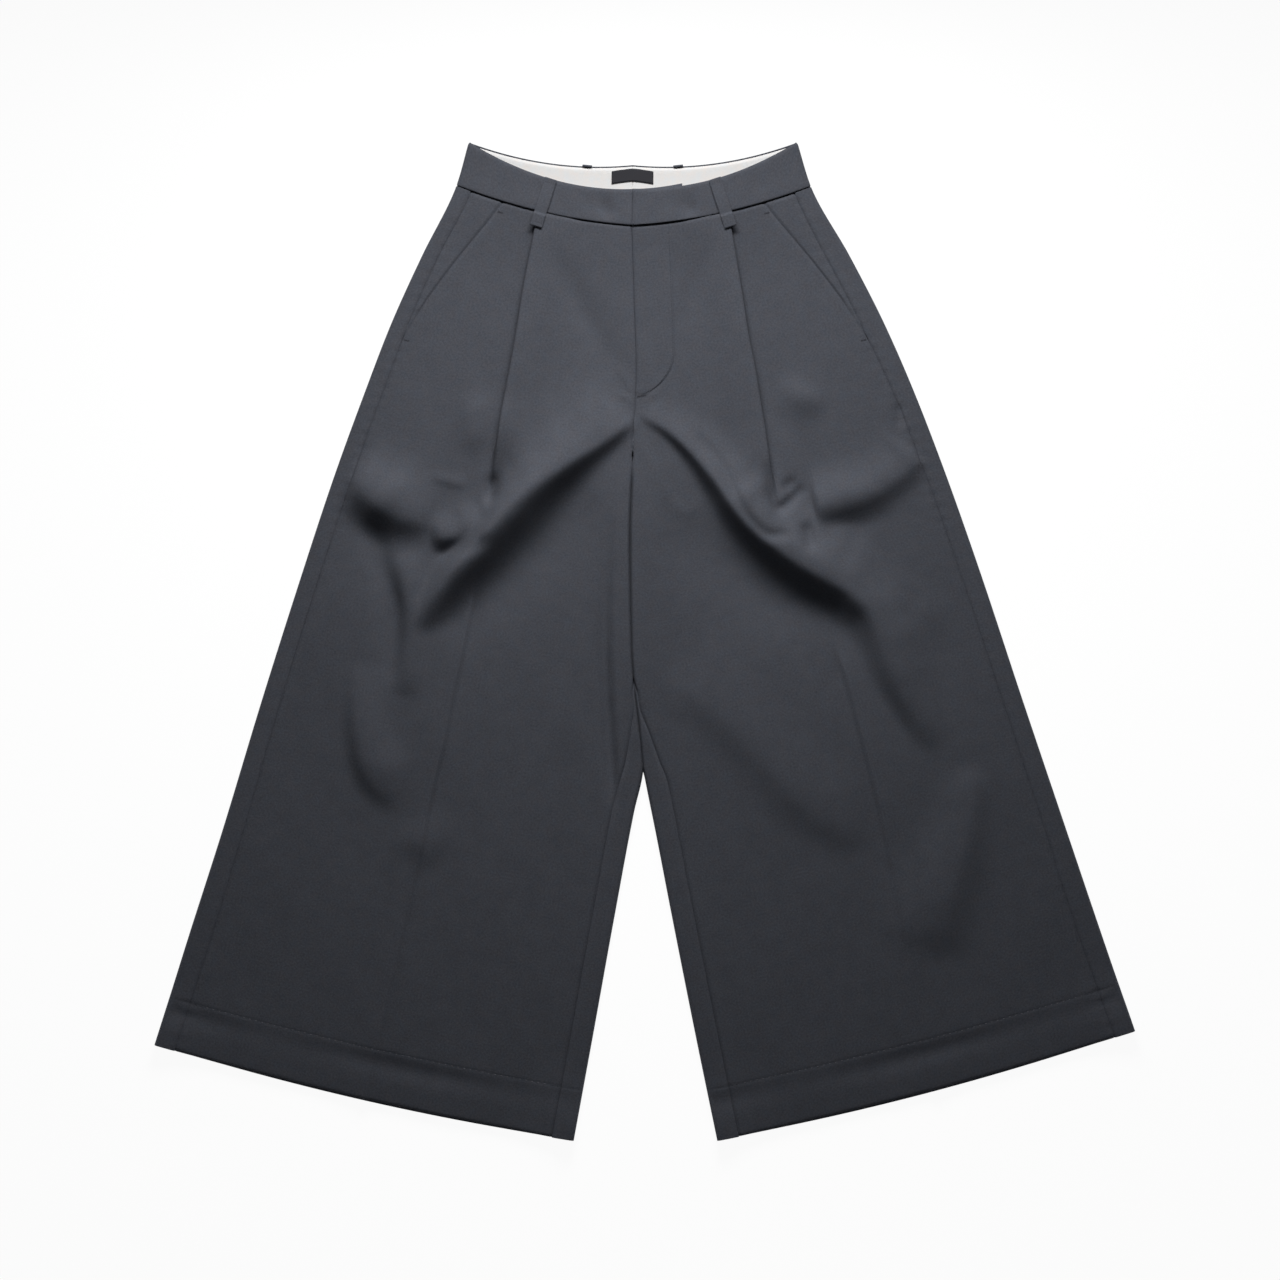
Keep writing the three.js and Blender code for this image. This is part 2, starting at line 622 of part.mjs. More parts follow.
// Waistband half: from the fly across the front, round the side and across the back to the centre. The
// right half runs on under the left one.
const BAND_FRONT_STEPS = 6;
const BAND_BACK_STEPS = 7;
const TAB_STEPS = 4;
function bandSection(leg, t) {
  const front = rowOf(leg, t);
  const back = rowOf(leg, t, "back");
  const across = evenly(GAP / 2, front.width - front.outerRadius, BAND_FRONT_STEPS).slice(0, -1);
  const panel = across.map((d) => pointAt(front, d, topAt(front, d)));
  const behind = evenly(back.width - back.outerRadius, GAP / 2, BAND_BACK_STEPS)
    .slice(1)
    .map((d) => pointAt(back, d, back.under));
  const half = [...panel, ...outerTurn(front, back), ...behind];
  if (leg !== LEGS.right) return half;
  const other = rowOf(LEGS.left, t);
  const tab = evenly(TAB_LENGTH, GAP, TAB_STEPS).map((d) => ({
    row: other,
    d,
    z: topAt(other, d) - BAND_CLOTH - GAP,
    x: -d - front.width,
    way: -1,
    raised: (TAB_RISE * d) / TAB_LENGTH,
  }));
  return [...tab, ...half];
}

// Lining inside the back waistband, from the centre seam towards the side.
const LINING_STEPS = 5;
const LINING_Z = BAND_CLOTH + GAP + LINING_CLOTH;
function liningSection(leg, t) {
  const row = rowOf(leg, t, "back");
  const end = row.width - row.outerRadius - LINING_SIDE;
  return evenly(GAP / 2, end, LINING_STEPS).map((d) => pointAt(row, d, row.under + LINING_Z));
}

// Label across the centre seam of the lining.
const LABEL_STEPS = 4;
function labelSection(share) {
  const reach = LABEL.width / 2;
  return evenly(-reach, reach, 2 * LABEL_STEPS).map((x) => {
    const t = lerp(LABEL.from, LABEL.to, share);
    const row = rowOf(x < 0 ? LEGS.right : LEGS.left, t, "back");
    const raised = LABEL.arch * (1 - (x / reach) ** 2);
    const z = row.under + LINING_Z + GAP + LABEL_CLOTH;
    return { ...pointAt(row, Math.abs(x), z), x, way: Math.sign(x) || 1, raised };
  });
}

// Two matching grids, the inner one moved in by the cloth's thickness.
function wallOf(name, sections, thicknessAt, material = MATERIALS.twill) {
  const outer = sections.map((points) => placeSection(points));
  const inner = sections.map((points) => placeSection(insetSection(points, thicknessAt(points[0].row.t))));
  return pieceOf(name, outer, inner, material);
}

// A belt loop is a straight strip. `path` gives its outer line as distances from the foot, with heights.
function loopOf(name, foot, top, width, path) {
  const way = top.clone().sub(foot).normalize();
  const across = new THREE.Vector2(way.y, -way.x);
  const place = (points, offset) =>
    points.map(({ x, z }) => {
      const plan = foot.clone().addScaledVector(way, x).addScaledVector(across, offset);
      return new THREE.Vector3(plan.x, plan.y, z);
    });
  const outer = path.map((p) => ({ ...p, d: p.x, way: 1 }));
  const inner = insetSection(outer, LOOP_CLOTH).map((p) => ({ ...p, x: p.d }));
  const offsets = evenly(-width / 2, width / 2, 2);
  return pieceOf(
    name,
    offsets.map((offset) => place(outer, offset)),
    offsets.map((offset) => place(inner, offset)),
    MATERIALS.twill,
  );
}

// Front belt loop: stitched down at the band's top edge and below the waist seam, a little slack between.
const LOOP_STEPS = 8;
function frontLoop(name, leg) {
  const pointOn = (t) => {
    const share = lerp(FRONT_LOOP.top, FRONT_LOOP.foot, (t - TOP) / (LOOP_END - TOP));
    const row = rowOf(leg, t);
    return { row, d: share * row.width };
  };
  const plan = (t) => {
    const { row, d } = pointOn(t);
    return planOf(row, d);
  };
  const [foot, top] = [plan(LOOP_END), plan(TOP)];
  const path = evenly(0, 1, LOOP_STEPS).map((share) => {
    const t = lerp(LOOP_END, TOP, share);
    const { row, d } = pointOn(t);
    const slack = LOOP_CLEAR + LOOP_SLACK * Math.sin(Math.PI * share) ** 2;
    const over = Math.max(surfaceAt(row, d), surfaceAt(row, d - LOOP_WIDTH / 2));
    return { x: share * foot.distanceTo(top), z: over + slack + LOOP_CLOTH };
  });
  return loopOf(name, foot, top, LOOP_WIDTH, path);
}

// Back belt loop: flat under the band, and turned over its top edge.
function backLoop(name, leg) {
  const plan = (t) => {
    const row = rowOf(leg, t, "back");
    return planOf(row, BACK_LOOP_AT * row.width);
  };
  const [foot, top] = [plan(LOOP_END), plan(TOP)];
  const over = foot.distanceTo(top) + LOOP_ROOM + LOOP_CLOTH;
  const height = LOOP_BED + LINING_Z + GAP + LOOP_CLOTH;
  const path = [
    { x: foot.distanceTo(top) - BACK_LOOP_LAP, z: height },
    { x: over, z: height },
    { x: over, z: 0 },
    { x: over / 2, z: 0 },
    { x: 0, z: 0 },
  ];
  return loopOf(name, foot, top, BACK_LOOP_WIDTH, path);
}

const trousers = new THREE.Group();
trousers.name = "pleated_trousers";

const BAND_ROWS = evenly(TOP, SEAM, BAND_STEPS);
const POCKET_ROWS = PANEL_ROWS.filter((t) => t < POCKET_FOOT);
for (const [name, leg] of Object.entries(LEGS)) {
  const sections = (rows, sectionOf) => rows.map((t) => sectionOf(leg, t));
  trousers.add(
    wallOf(`front_${name}`, sections(PANEL_ROWS, frontSection), wallAt),
    wallOf(`back_${name}`, sections(PANEL_ROWS, backSection), wallAt),
    wallOf(`pocket_side_${name}`, sections(POCKET_ROWS, pocketSection), () => CLOTH),
    wallOf(`waistband_${name}`, sections(BAND_ROWS, bandSection), () => BAND_CLOTH),
    wallOf(
      `waistband_lining_${name}`,
      sections(evenly(TOP + LINING_INSET / 1000, SEAM, 2), liningSection),
      () => LINING_CLOTH,
      MATERIALS.lining,
    ),
    frontLoop(`belt_loop_front_${name}`, leg),
    backLoop(`belt_loop_back_${name}`, leg),
  );
}
trousers.add(wallOf("label", [0, 0.5, 1].map(labelSection), () => LABEL_CLOTH, MATERIALS.label));

export default trousers;
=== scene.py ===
"""Pleated wide-leg trousers in charcoal twill, laid face up and seen from straight above.

Cloth is worked out in millimetres along each leg's rows and placed in metres. A row runs across one leg
from its inner end to its outer edge, and t says which row: TOP at the waistband's edge, 0 at the waist
seam, 1 at the hem. A distance d is measured along a row from its inner end.
"""

import math
from collections import namedtuple
from types import SimpleNamespace

import bmesh
import bpy
import numpy as np
from mathutils import Matrix, Vector


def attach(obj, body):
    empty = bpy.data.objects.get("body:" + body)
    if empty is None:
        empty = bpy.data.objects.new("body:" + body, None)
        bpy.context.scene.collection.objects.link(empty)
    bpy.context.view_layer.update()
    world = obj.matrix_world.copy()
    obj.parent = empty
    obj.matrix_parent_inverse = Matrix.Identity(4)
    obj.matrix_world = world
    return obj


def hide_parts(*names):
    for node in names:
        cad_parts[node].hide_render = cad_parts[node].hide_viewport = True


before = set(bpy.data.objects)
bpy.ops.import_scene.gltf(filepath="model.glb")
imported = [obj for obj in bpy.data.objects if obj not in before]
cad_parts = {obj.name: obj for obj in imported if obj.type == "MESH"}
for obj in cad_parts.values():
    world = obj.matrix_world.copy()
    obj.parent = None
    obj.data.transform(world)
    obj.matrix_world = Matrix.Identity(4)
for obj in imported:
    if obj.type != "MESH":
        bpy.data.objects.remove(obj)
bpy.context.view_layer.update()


# Front leg panels
# Each front is one piece of charcoal twill, cut from the waist to the hem, with one pleat laid towards
# the side seam and a pressed crease below. The wearer's left one laps over the right at the fly.

MM = 0.001
CLOTH = 1.2
LEG_LENGTH = 960
TOP = -0.05
SEAM = -0.0007  # just above the waist seam

# Inner ends of the rows: the middle line between the legs, how far up the front and the back reach on
# it, half the space between the legs, which is below zero where they press into each other, and how far
# the rows of the front and the back bow towards the hem.
Section = namedtuple("Section", "t centre front back apart front_bow back_bow")
SECTIONS = [
    Section(TOP, -13, 474.6, 500.3, 0, 14, 10),
    Section(0, -13.4, 435.8, 457, 0, 7.5, 8.5),
    Section(0.08, -11.3, 359, 371, 0, 5, 5),
    Section(0.16, -9.2, 282.5, 286, 0, 3, 3),
    Section(0.24, -12.6, 205.8, 205.8, 0, 2, 2),
    Section(0.27, -13.6, 177, 177, -0.5, 2, 2),
    Section(0.34, -15.8, 110.2, 110.2, -0.4, 2, 2),
    Section(0.46, -14.2, -5.2, -5.2, -0.8, 2, 2),
    Section(0.59, -2.4, -130, -130, -0.7, 3, 3),
    Section(0.605, -1.6, -144.4, -144.4, 1.6, 3, 3),
    Section(0.64, -2.3, -178, -178, 9, 3, 3),
    Section(0.75, -1.9, -283.4, -283.4, 29.2, 4, 4.5),
    Section(0.88, -0.8, -407.9, -407.9, 52.8, 5, 7),
    Section(1, 0.5, -522.4, -522.4, 75.1, 7.5, 9),
]

# Outer edges of the legs, the strip of back that is turned onto the front, and the share of the row
# where the pleat or the crease runs. Each pleat opens out between two rows, and the crease shows from
# the row `creased`.
Edge = namedtuple("Edge", "t x y turned crease")
Leg = namedtuple("Leg", "name side opens creased edge")
RIGHT = Leg("right", -1, (0.2, 0.325), 0.415, [
    Edge(TOP, -184.8, 524, 16, 0.535),
    Edge(0, -197.9, 477.8, 16, 0.53),
    Edge(0.08, -233.6, 405.7, 16, 0.515),
    Edge(0.16, -266.2, 333.9, 17, 0.5),
    Edge(0.24, -294, 261.8, 18, 0.493),
    Edge(0.34, -326.6, 172.2, 18, 0.48),
    Edge(0.46, -362.3, 64, 18, 0.49),
    Edge(0.6, -402.2, -62, 19, 0.52),
    Edge(0.75, -443.1, -197.2, 21, 0.51),
    Edge(0.88, -480.4, -314, 23, 0.505),
    Edge(1, -514, -422.1, 22, 0.5),
])
LEFT = Leg("left", 1, (0.23, 0.36), 0.49, [
    Edge(TOP, 159.6, 524, 18, 0.535),
    Edge(0, 174.3, 476.7, 18, 0.53),
    Edge(0.08, 214.2, 405.9, 23, 0.49),
    Edge(0.16, 250.4, 335.3, 23, 0.464),
    Edge(0.24, 281.4, 264.6, 21, 0.464),
    Edge(0.34, 315.5, 176.1, 20, 0.463),
    Edge(0.46, 352.8, 70, 20, 0.555),
    Edge(0.6, 393.8, -53.8, 20, 0.575),
    Edge(0.75, 438.4, -186.4, 21, 0.565),
    Edge(0.88, 477.2, -301.4, 23, 0.54),
    Edge(1, 513.5, -407.4, 22, 0.52),
])

LOOP_CLOTH = 1.5
GAP = 0.3
LOOP_BED = LOOP_CLOTH + GAP
# Top of the front at its inner end, in its middle and at its outer edge, and the underside of the back,
# which lies on the belt loops at the waist.
Height = namedtuple("Height", "t inner middle outer under")
HEIGHTS = [
    Height(TOP, 8.9, 8.9, 9.6, LOOP_BED),
    Height(SEAM, 8.9, 9.3, 9.6, LOOP_BED),
    Height(0, 7.8, 8.2, 8.5, LOOP_BED),
    Height(0.022, 7, 7.2, 8.4, LOOP_BED),
    Height(0.07, 6, 5.8, 7, 0),
    Height(0.16, 7.6, 6.8, 6.6, 0),
    Height(0.24, 11.5, 8, 6.6, 0),
    Height(0.3, 13.6, 8.6, 6.6, 0),
    Height(0.36, 14.4, 8.8, 6.6, 0),
    Height(0.46, 14, 8.8, 6.6, 0),
    Height(0.55, 11, 8.5, 6.6, 0),
    Height(0.62, 8.6, 8.1, 6.6, 0),
    Height(0.75, 7.6, 7, 6.8, 0),
    Height(0.93, 7.4, 6, 7, 0),
    Height(1, 7.6, 5.9, 7.6, 0),
]
EDGE_REACH = 48
LOWEST = 2 * CLOTH + GAP

# Where the inseam lies: its share of the turn round the leg's inner edge, and how far past the turn.
Inseam = namedtuple("Inseam", "t turn past")
INSEAM = [
    Inseam(0.235, 0.66, 0),
    Inseam(0.26, 0.42, 0),
    Inseam(0.28, 0.26, 0),
    Inseam(0.34, 0.2, 0),
    Inseam(0.46, 0.22, 0),
    Inseam(0.48, 0.3, 0),
    Inseam(0.52, 1, 0),
    Inseam(0.56, 1, 8),
    Inseam(0.62, 1, 19),
    Inseam(1, 1, 20),
]

# A fold runs along its route with its steep side on the right of the way it goes. It falls away over
# `easy` on the left and `steep` on the right, and fades over `soft` at its ends. A trough has a rise
# below zero.
Fold = namedtuple("Fold", "route rise easy steep soft")
FOLDS = [
    # wearer's right leg
    Fold([(-240, 14), (-220, 46), (-190, 84), (-161, 117), (-130, 151), (-100, 175), (-70, 195), (-42, 212),
          (-18, 230)],
         [5, 16, 24, 28, 29, 27, 22, 14, 7], [12, 14, 15, 22, 44, 50], [15, 21, 25, 25, 20, 14, 8], 10),
    Fold([(-206, 16), (-150, 66), (-96, 118), (-60, 150)], [-2, -5, -5, -2], [26], [36], 20),
    Fold([(-312, 180), (-292, 157), (-270, 139), (-246, 130), (-226, 126)],
         [6, 15, 17, 12, 5], [30, 36], [16, 22, 22, 14], 10),
    Fold([(-220, 108), (-202, 112), (-184, 114), (-166, 122)], [8, 9, 9, 9], [20, 22], [13, 14], 7),
    Fold([(-220, 92), (-200, 95), (-180, 100), (-166, 108)], [-2, -3, -4, -4], [11], [9], 8),
    Fold([(-256, 88), (-252, 62), (-246, 36), (-247, -4), (-250, -34), (-250, -56)],
         [5, 8, 8, 7.5, 7, 4], [22, 20], [15, 12, 12, 14, 15], 10),
    Fold([(-286, 126), (-276, 84), (-262, 40), (-264, -4), (-266, -36)],
         [-5, -4.5, -3, -3.5, -2], [13], [16], 12),
    Fold([(-300, -24), (-301, -80), (-296, -116), (-284, -146), (-262, -164)],
         [3, 7, 8, 4], [32, 34], [11, 14], 14),
    Fold([(-34, 150), (-38, 86), (-41, 2), (-38, -82), (-34, -160)],
         [-2, -5.5, -6.5, -6, -3], [5], [6.5], 24),
    Fold([(-26, 150), (-27, 86), (-29, 2), (-27, -82), (-24, -160)],
         [1.5, 4.5, 4.5, 4, 1.5], [6], [5], 24),
    Fold([(-63, 55), (-77, -40), (-89, -108)], [1.8], [24], [12], 24),
    Fold([(-176, 254), (-182, 206)], [4.5], [20], [14], 14),
    Fold([(-96, 408), (-62, 344), (-26, 280)], [-1, -3, -2.4], [16], [13], 20),
    Fold([(-226, 172), (-189, 164)], [1.6], [8], [4.5], 6),
    Fold([(-159, 172), (-162, 146)], [-6], [7], [7], 7),
    Fold([(-248, -200), (-222, -222)], [3], [30], [16], 12),
    Fold([(-352, 86), (-289, 2), (-226, -134)], [3], [76], [76], 50),
    Fold([(-40, 262), (-14, 254)], [1], [3.5], [3.5], 5),
    Fold([(-44, 232), (-16, 250)], [1], [3.5], [3.5], 5),
    Fold([(-30, 290), (-12, 262)], [0.8], [3.5], [3.5], 5),
    # wearer's left leg
    Fold([(0, 236), (26, 220), (52, 195), (78, 163), (94, 140), (118, 116), (147, 92), (178, 73), (204, 60),
          (226, 46), (240, 24), (250, -6), (262, -38), (278, -68), (294, -96), (306, -118)],
         [3, 7, 11, 17, 22, 24, 24, 24, 23, 20, 16, 15, 14, 11, 7, 1], [16, 24, 32, 40, 42, 34, 26, 18],
         [5, 7, 11, 16, 20, 19, 17, 17, 16], 10),
    Fold([(44, 128), (92, 74), (150, 36), (196, 22)], [-2, -4.5, -4.5, -1], [26], [36], 20),
    Fold([(177, 142), (215, 148), (247, 162), (276, 182), (288, 194)],
         [13, 13, 10, 7, 4], [26], [24, 18, 10], 4),
    Fold([(128, 190), (131, 170), (134, 152), (139, 136)], [0, -3, -5, -6], [6], [5.5], 5),
    Fold([(139, 136), (152, 147), (164, 161)], [-5, -5, -3], [5.5], [5.5], 5),
    Fold([(146, 160), (156, 170)], [-3, -3], [5], [5], 5),
    Fold([(90, 178), (99, 152), (114, 130), (136, 121), (154, 131)], [1.4, 3, 3.6, 3.6, 2], [8], [6], 7),
    Fold([(56, 214), (80, 184), (92, 158), (106, 132), (126, 113), (148, 112)],
         [-2.6, -3.5, -4, -3.5, -3], [6], [6], 8),
    Fold([(168, 122), (174, 98)], [-6], [7], [7], 6),
    Fold([(178, 250), (148, 264)], [4.5], [18], [14], 12),
    Fold([(66, 420), (52, 372), (38, 330)], [-1, -1.6, -1], [12], [12], 20),
    Fold([(304, -318), (318, -262), (332, -214), (340, -176), (344, -138)],
         [3, 6.5, 6.5, 5, 4], [44, 36], [30, 15], 14),
    Fold([(36, -42), (84, -76), (112, -108), (150, -152), (186, -182), (226, -196)],
         [3, 5.5, 5.5, 4], [56], [24], 20),
    Fold([(265, 249), (267, 226)], [-2.4], [5], [5], 6),
    Fold([(296, 44), (270, 6)], [2.4], [26], [16], 14),
    Fold([(121, -8), (215, -124), (331, -124)], [3], [80], [80], 50),
    Fold([(14, 262), (2, 254)], [1], [3.5], [3.5], 5),
    Fold([(22, 236), (2, 250)], [1], [3.5], [3.5], 5),
    Fold([(-4, 205), (16, 168), (39, 136), (56, 142)], [0.5], [6], [5], 6),
]
FOLD_FADE = 30
ROUTE_STEPS = 8
STROKE = 3.5

PLEAT_DEPTH = 18
PLEAT_APPROACH = 3
PLEAT_SPREAD = 50
CREASE_STEP = 1.2
CREASE_RISE = 3.2
CREASE_FADE = 0.05
CREASE_OUTER = 16
CREASE_INNER = (1.5, 8.5)  # sharp above the first of CREASE_SOFTENS, soft below the second
CREASE_SOFTENS = (0.66, 0.86)
CREASE_DIP = 0.6
CREASE_DIP_REACH = 9

FLY_FOOT = 0.186
FLY_WIDTH = 40
FLY_STEP = 2.4
FLY_LEAST = 4
FLY_CURVE = 0.045
FLY_LAP = 0.9
BAND_CLOTH = 2.4
TAB_LENGTH = 54
TAB_SHOWS = 0.7  # the share of the tab's height that lifts the front below it
TAB_FADE = 0.05

# The row of hem stitches with the groove they draw, and the doubled cloth that sags unevenly below them.
HEM_LINE = 0.945
HEM_GROOVE = 0.2
HEM_GROOVE_REACH = 1.4
HEM_SAG = 1.1
HEM_SAG_BELOW = 14
HEM_SAG_REACH = 10
HEM_SAG_VARIES = 0.6
HEM_SAG_PITCH = 43
HEM_SHORT = 0.5
HEM_SHORT_FROM = 0.9
CORNER_LIFT = 3.5
CORNER_REACH = 80
CORNER_ROWS = 0.08
CROTCH = 0.235
CLOSING = 0.05  # the rows over which the inner end turns from an open edge into a closed one


def smooth(x):
    x = np.clip(x, 0, 1)
    return x * x * (3 - 2 * x)


def read(table, field, t):
    """A column of a table at t, on a curve that never swings past its rows."""
    places = np.array([row.t for row in table], float)
    values = np.array([getattr(row, field) for row in table], float)
    t = np.clip(t, places[0], places[-1])
    i = np.clip(np.searchsorted(places, t, side="right") - 1, 0, len(places) - 2)
    slope = np.diff(values) / np.diff(places)
    product = slope[:-1] * slope[1:]
    total = np.where(product > 0, slope[:-1] + slope[1:], 1)
    tangent = np.concatenate([slope[:1], np.where(product > 0, 2 * product / total, 0), slope[-1:]])
    span = places[i + 1] - places[i]
    u = (t - places[i]) / span
    start, end = values[i], values[i + 1]
    bend = (1 - u) * tangent[i] - u * tangent[i + 1]
    # The last term turns the straight line's slope into the curve's slope at both rows.
    return start + (end - start) * u * u * (3 - 2 * u) + span * u * (1 - u) * bend


def rows_of(leg, t, layer="front"):
    """Rows of a leg, one for each t: ends in plan, width, heights and the radii of the turned edges."""
    t = np.asarray(t, float).reshape(-1, 1)
    inner_x = read(SECTIONS, "centre", t) + leg.side * read(SECTIONS, "apart", t)
    inner_y = read(SECTIONS, layer, t)
    outer_x, outer_y = read(leg.edge, "x", t), read(leg.edge, "y", t)
    under = read(HEIGHTS, "under", t)
    width = np.hypot(outer_x - inner_x, outer_y - inner_y)
    return SimpleNamespace(
        t=t, leg=leg, inner_x=inner_x, inner_y=inner_y, outer_x=outer_x, outer_y=outer_y,
        width=width, under=under,
        bow=read(SECTIONS, layer + "_bow", t),
        inner_radius=(read(HEIGHTS, "inner", t) - under) / 2,
        outer_radius=(read(HEIGHTS, "outer", t) - under) / 2,
        seam=width - read(leg.edge, "turned", t),
        open=t < CROTCH,
        closed=smooth((t - CROTCH) / CLOSING),
    )


def mix(a, b, share):
    return a + (b - a) * share


def plan_of(rows, d):
    share = d / rows.width
    held = np.clip(share, 0, 1)
    x = rows.inner_x + (rows.outer_x - rows.inner_x) * share
    y = rows.inner_y + (rows.outer_y - rows.inner_y) * share - rows.bow * 4 * held * (1 - held)
    return x, y


def gone_along(line):
    """Distance of each point of a line from its start, along the line."""
    return np.concatenate([[0], np.cumsum(np.linalg.norm(np.diff(line, axis=0), axis=1))])


def route_of(points):
    """A curve through given points, as short straight steps."""
    p = np.array(points, float)
    p = np.vstack([2 * p[0] - p[1], p, 2 * p[-1] - p[-2]])
    u = np.arange(ROUTE_STEPS)[:, None] / ROUTE_STEPS
    steps = [
        0.5 * (2 * b + (c - a) * u + (2 * a - 5 * b + 4 * c - d) * u**2 + (3 * b - a - 3 * c + d) * u**3)
        for a, b, c, d in zip(p, p[1:], p[2:], p[3:])
    ]
    return np.vstack([*steps, p[-2]])


def strokes_of(fold):
    """Evenly spaced short strokes along a fold: places, directions and shares of its length."""
    route = route_of(fold.route)
    gone = gone_along(route)
    count = max(3, round(gone[-1] / STROKE))
    share = (np.arange(count) + 0.5) / count
    places = np.stack([np.interp(share * gone[-1], gone, route[:, k]) for k in (0, 1)], axis=1)
    ways = np.gradient(places, axis=0)
    return places, ways / np.linalg.norm(ways, axis=1, keepdims=True), share, gone[-1] / count


def folds_at(x, y, folds=FOLDS):
    """Height of all the folds, each a sum of soft strokes. Where ridges cross, the higher prevails."""
    column = lambda values, share: np.interp(share, np.linspace(0, 1, len(values)), values)
    ridges, troughs = np.zeros_like(x), np.zeros_like(x)
    for fold in folds:
        places, ways, shares, length = strokes_of(fold)
        height = np.zeros_like(x)
        for (px, py), (wx, wy), share in zip(places, ways, shares):
            ahead = (x - px) * wx + (y - py) * wy
            left = (y - py) * wx - (x - px) * wy
            reach = np.where(left > 0, column(fold.easy, share), column(fold.steep, share))
            height += column(fold.rise, share) * np.exp(-((ahead / fold.soft) ** 2) - (left / reach) ** 2)
        height *= length / (fold.soft * math.sqrt(math.pi))
        ridges += np.maximum(height, 0) ** 3
        troughs += np.minimum(height, 0)
    return np.cbrt(ridges) + troughs


def fly_edge_at(t):
    foot = np.clip((t - FLY_FOOT + FLY_CURVE) / FLY_CURVE, 0, 1)
    return np.maximum(FLY_WIDTH * np.sqrt(1 - foot**2), FLY_LEAST)


def fly_at(rows, d):
    """Extra height of the fly's lap and facing on the wearer's left."""
    if rows.leg is RIGHT:
        return 0 * d
    band = (BAND_CLOTH + GAP) * smooth(1 - (d - TAB_LENGTH) / TAB_LENGTH)
    front = FLY_LAP * smooth(1 - (d - fly_edge_at(rows.t)) / FLY_STEP) * (rows.t < FLY_FOOT)
    over_tab = TAB_SHOWS * band * smooth(1 - rows.t / TAB_FADE)
    return np.where(rows.t < 0, band, np.maximum(front, over_tab))


Wave = namedtuple("Wave", "height along_x along_y shift")
WAVES = [Wave(0.16, 31, 47, 0), Wave(0.13, 19, -28, 1), Wave(0.09, 11, 16, 2)]


def ripple(x, y):
    """The slight unevenness of cloth that has been laid down by hand."""
    return sum(wave.height * np.sin(x / wave.along_x + y / wave.along_y + wave.shift) for wave in WAVES)


PUCKER = 0.2
PUCKER_PITCH = 14
PUCKER_DRIFT = 37
PUCKER_REACH = 9


def seam_pucker(rows, d):
    """The small waves that sewing draws in the cloth beside the side seam."""
    along_leg = rows.t * LEG_LENGTH
    wave = np.sin(2 * np.pi * along_leg / PUCKER_PITCH + np.sin(along_leg / PUCKER_DRIFT))
    return PUCKER * wave * np.exp(-(((d - rows.seam) / PUCKER_REACH) ** 2)) * (rows.t > 0)


# Dents in the waistband, two of them deep, where it lies over the hidden hook and the end of the tab.
BAND_FOLDS = [
    Fold([(-53, 476), (-47, 464), (-42, 455), (-38, 446)], [-0.2, -1.4, -3.4, -2.2], [9], [7], 5),
    Fold([(-62, 468), (-56, 452)], [-0.4, -1.4], [6], [6], 5),
    Fold([(-20, 474), (-14, 456)], [-0.2, -0.9], [8], [8], 6),
    Fold([(43, 476), (44, 464), (46, 455), (50, 447)], [-0.2, -1.4, -3.3, -2], [7], [9], 5),
    Fold([(28, 470), (34, 454)], [-0.2, -1], [7], [7], 6),
    Fold([(-118, 492), (-108, 470)], [-0.2, -0.8], [8], [8], 6),
    Fold([(110, 492), (122, 474)], [-0.2, -0.8], [8], [8], 6),
]


def top_at(rows, d):
    """Height of the front's top surface, without the pleat's fold."""
    x, y = plan_of(rows, d)
    from_inner = d - rows.inner_radius * rows.closed
    from_outer = rows.width - rows.outer_radius - d
    middle = read(HEIGHTS, "middle", rows.t)
    rolled = lambda radius, away: (rows.under + 2 * radius - middle) * smooth(1 - away / EDGE_REACH)
    edges = rolled(rows.inner_radius, from_inner) + rolled(rows.outer_radius, from_outer)
    windowed = smooth(from_outer / FOLD_FADE) * mix(1, smooth(from_inner / FOLD_FADE), rows.closed)
    folds = np.where(rows.t < 0, folds_at(x, y, BAND_FOLDS), windowed * folds_at(x, y))
    below_stitches = (rows.t - HEM_LINE) * LEG_LENGTH
    sag = HEM_SAG * np.exp(-(((below_stitches - HEM_SAG_BELOW) / HEM_SAG_REACH) ** 2))
    sag = sag * (1 + HEM_SAG_VARIES * np.sin(x / HEM_SAG_PITCH + 1))
    hem = -sag - HEM_GROOVE * np.exp(-((below_stitches / HEM_GROOVE_REACH) ** 2))
    height = middle + edges + folds + windowed * ripple(x, y) + seam_pucker(rows, d) + hem
    return np.maximum(height, rows.under + LOWEST) + fly_at(rows, d)


def lift_of(rows, d):
    """How far the corners of the hem curl up."""
    down = smooth((rows.t - 1) / CORNER_ROWS + 1)
    across = np.minimum(d, rows.width - d)
    return CORNER_LIFT * down * smooth(1 - across / CORNER_REACH)


def place(rows, d, z):
    """Points in millimetres for distances and heights on rows, as an array of rows by columns by three."""
    x, y = plan_of(rows, d)
    return np.stack([x, y, z + lift_of(rows, d)], axis=-1)


SLIT_ROWS = (0.24, 0.28, 0.59, 0.64)  # where the groove starts, is whole, starts to fade and ends
SLIT_GAPE = 1.9
SLIT_ROUND = 0.3
SLIT_FADE = 22


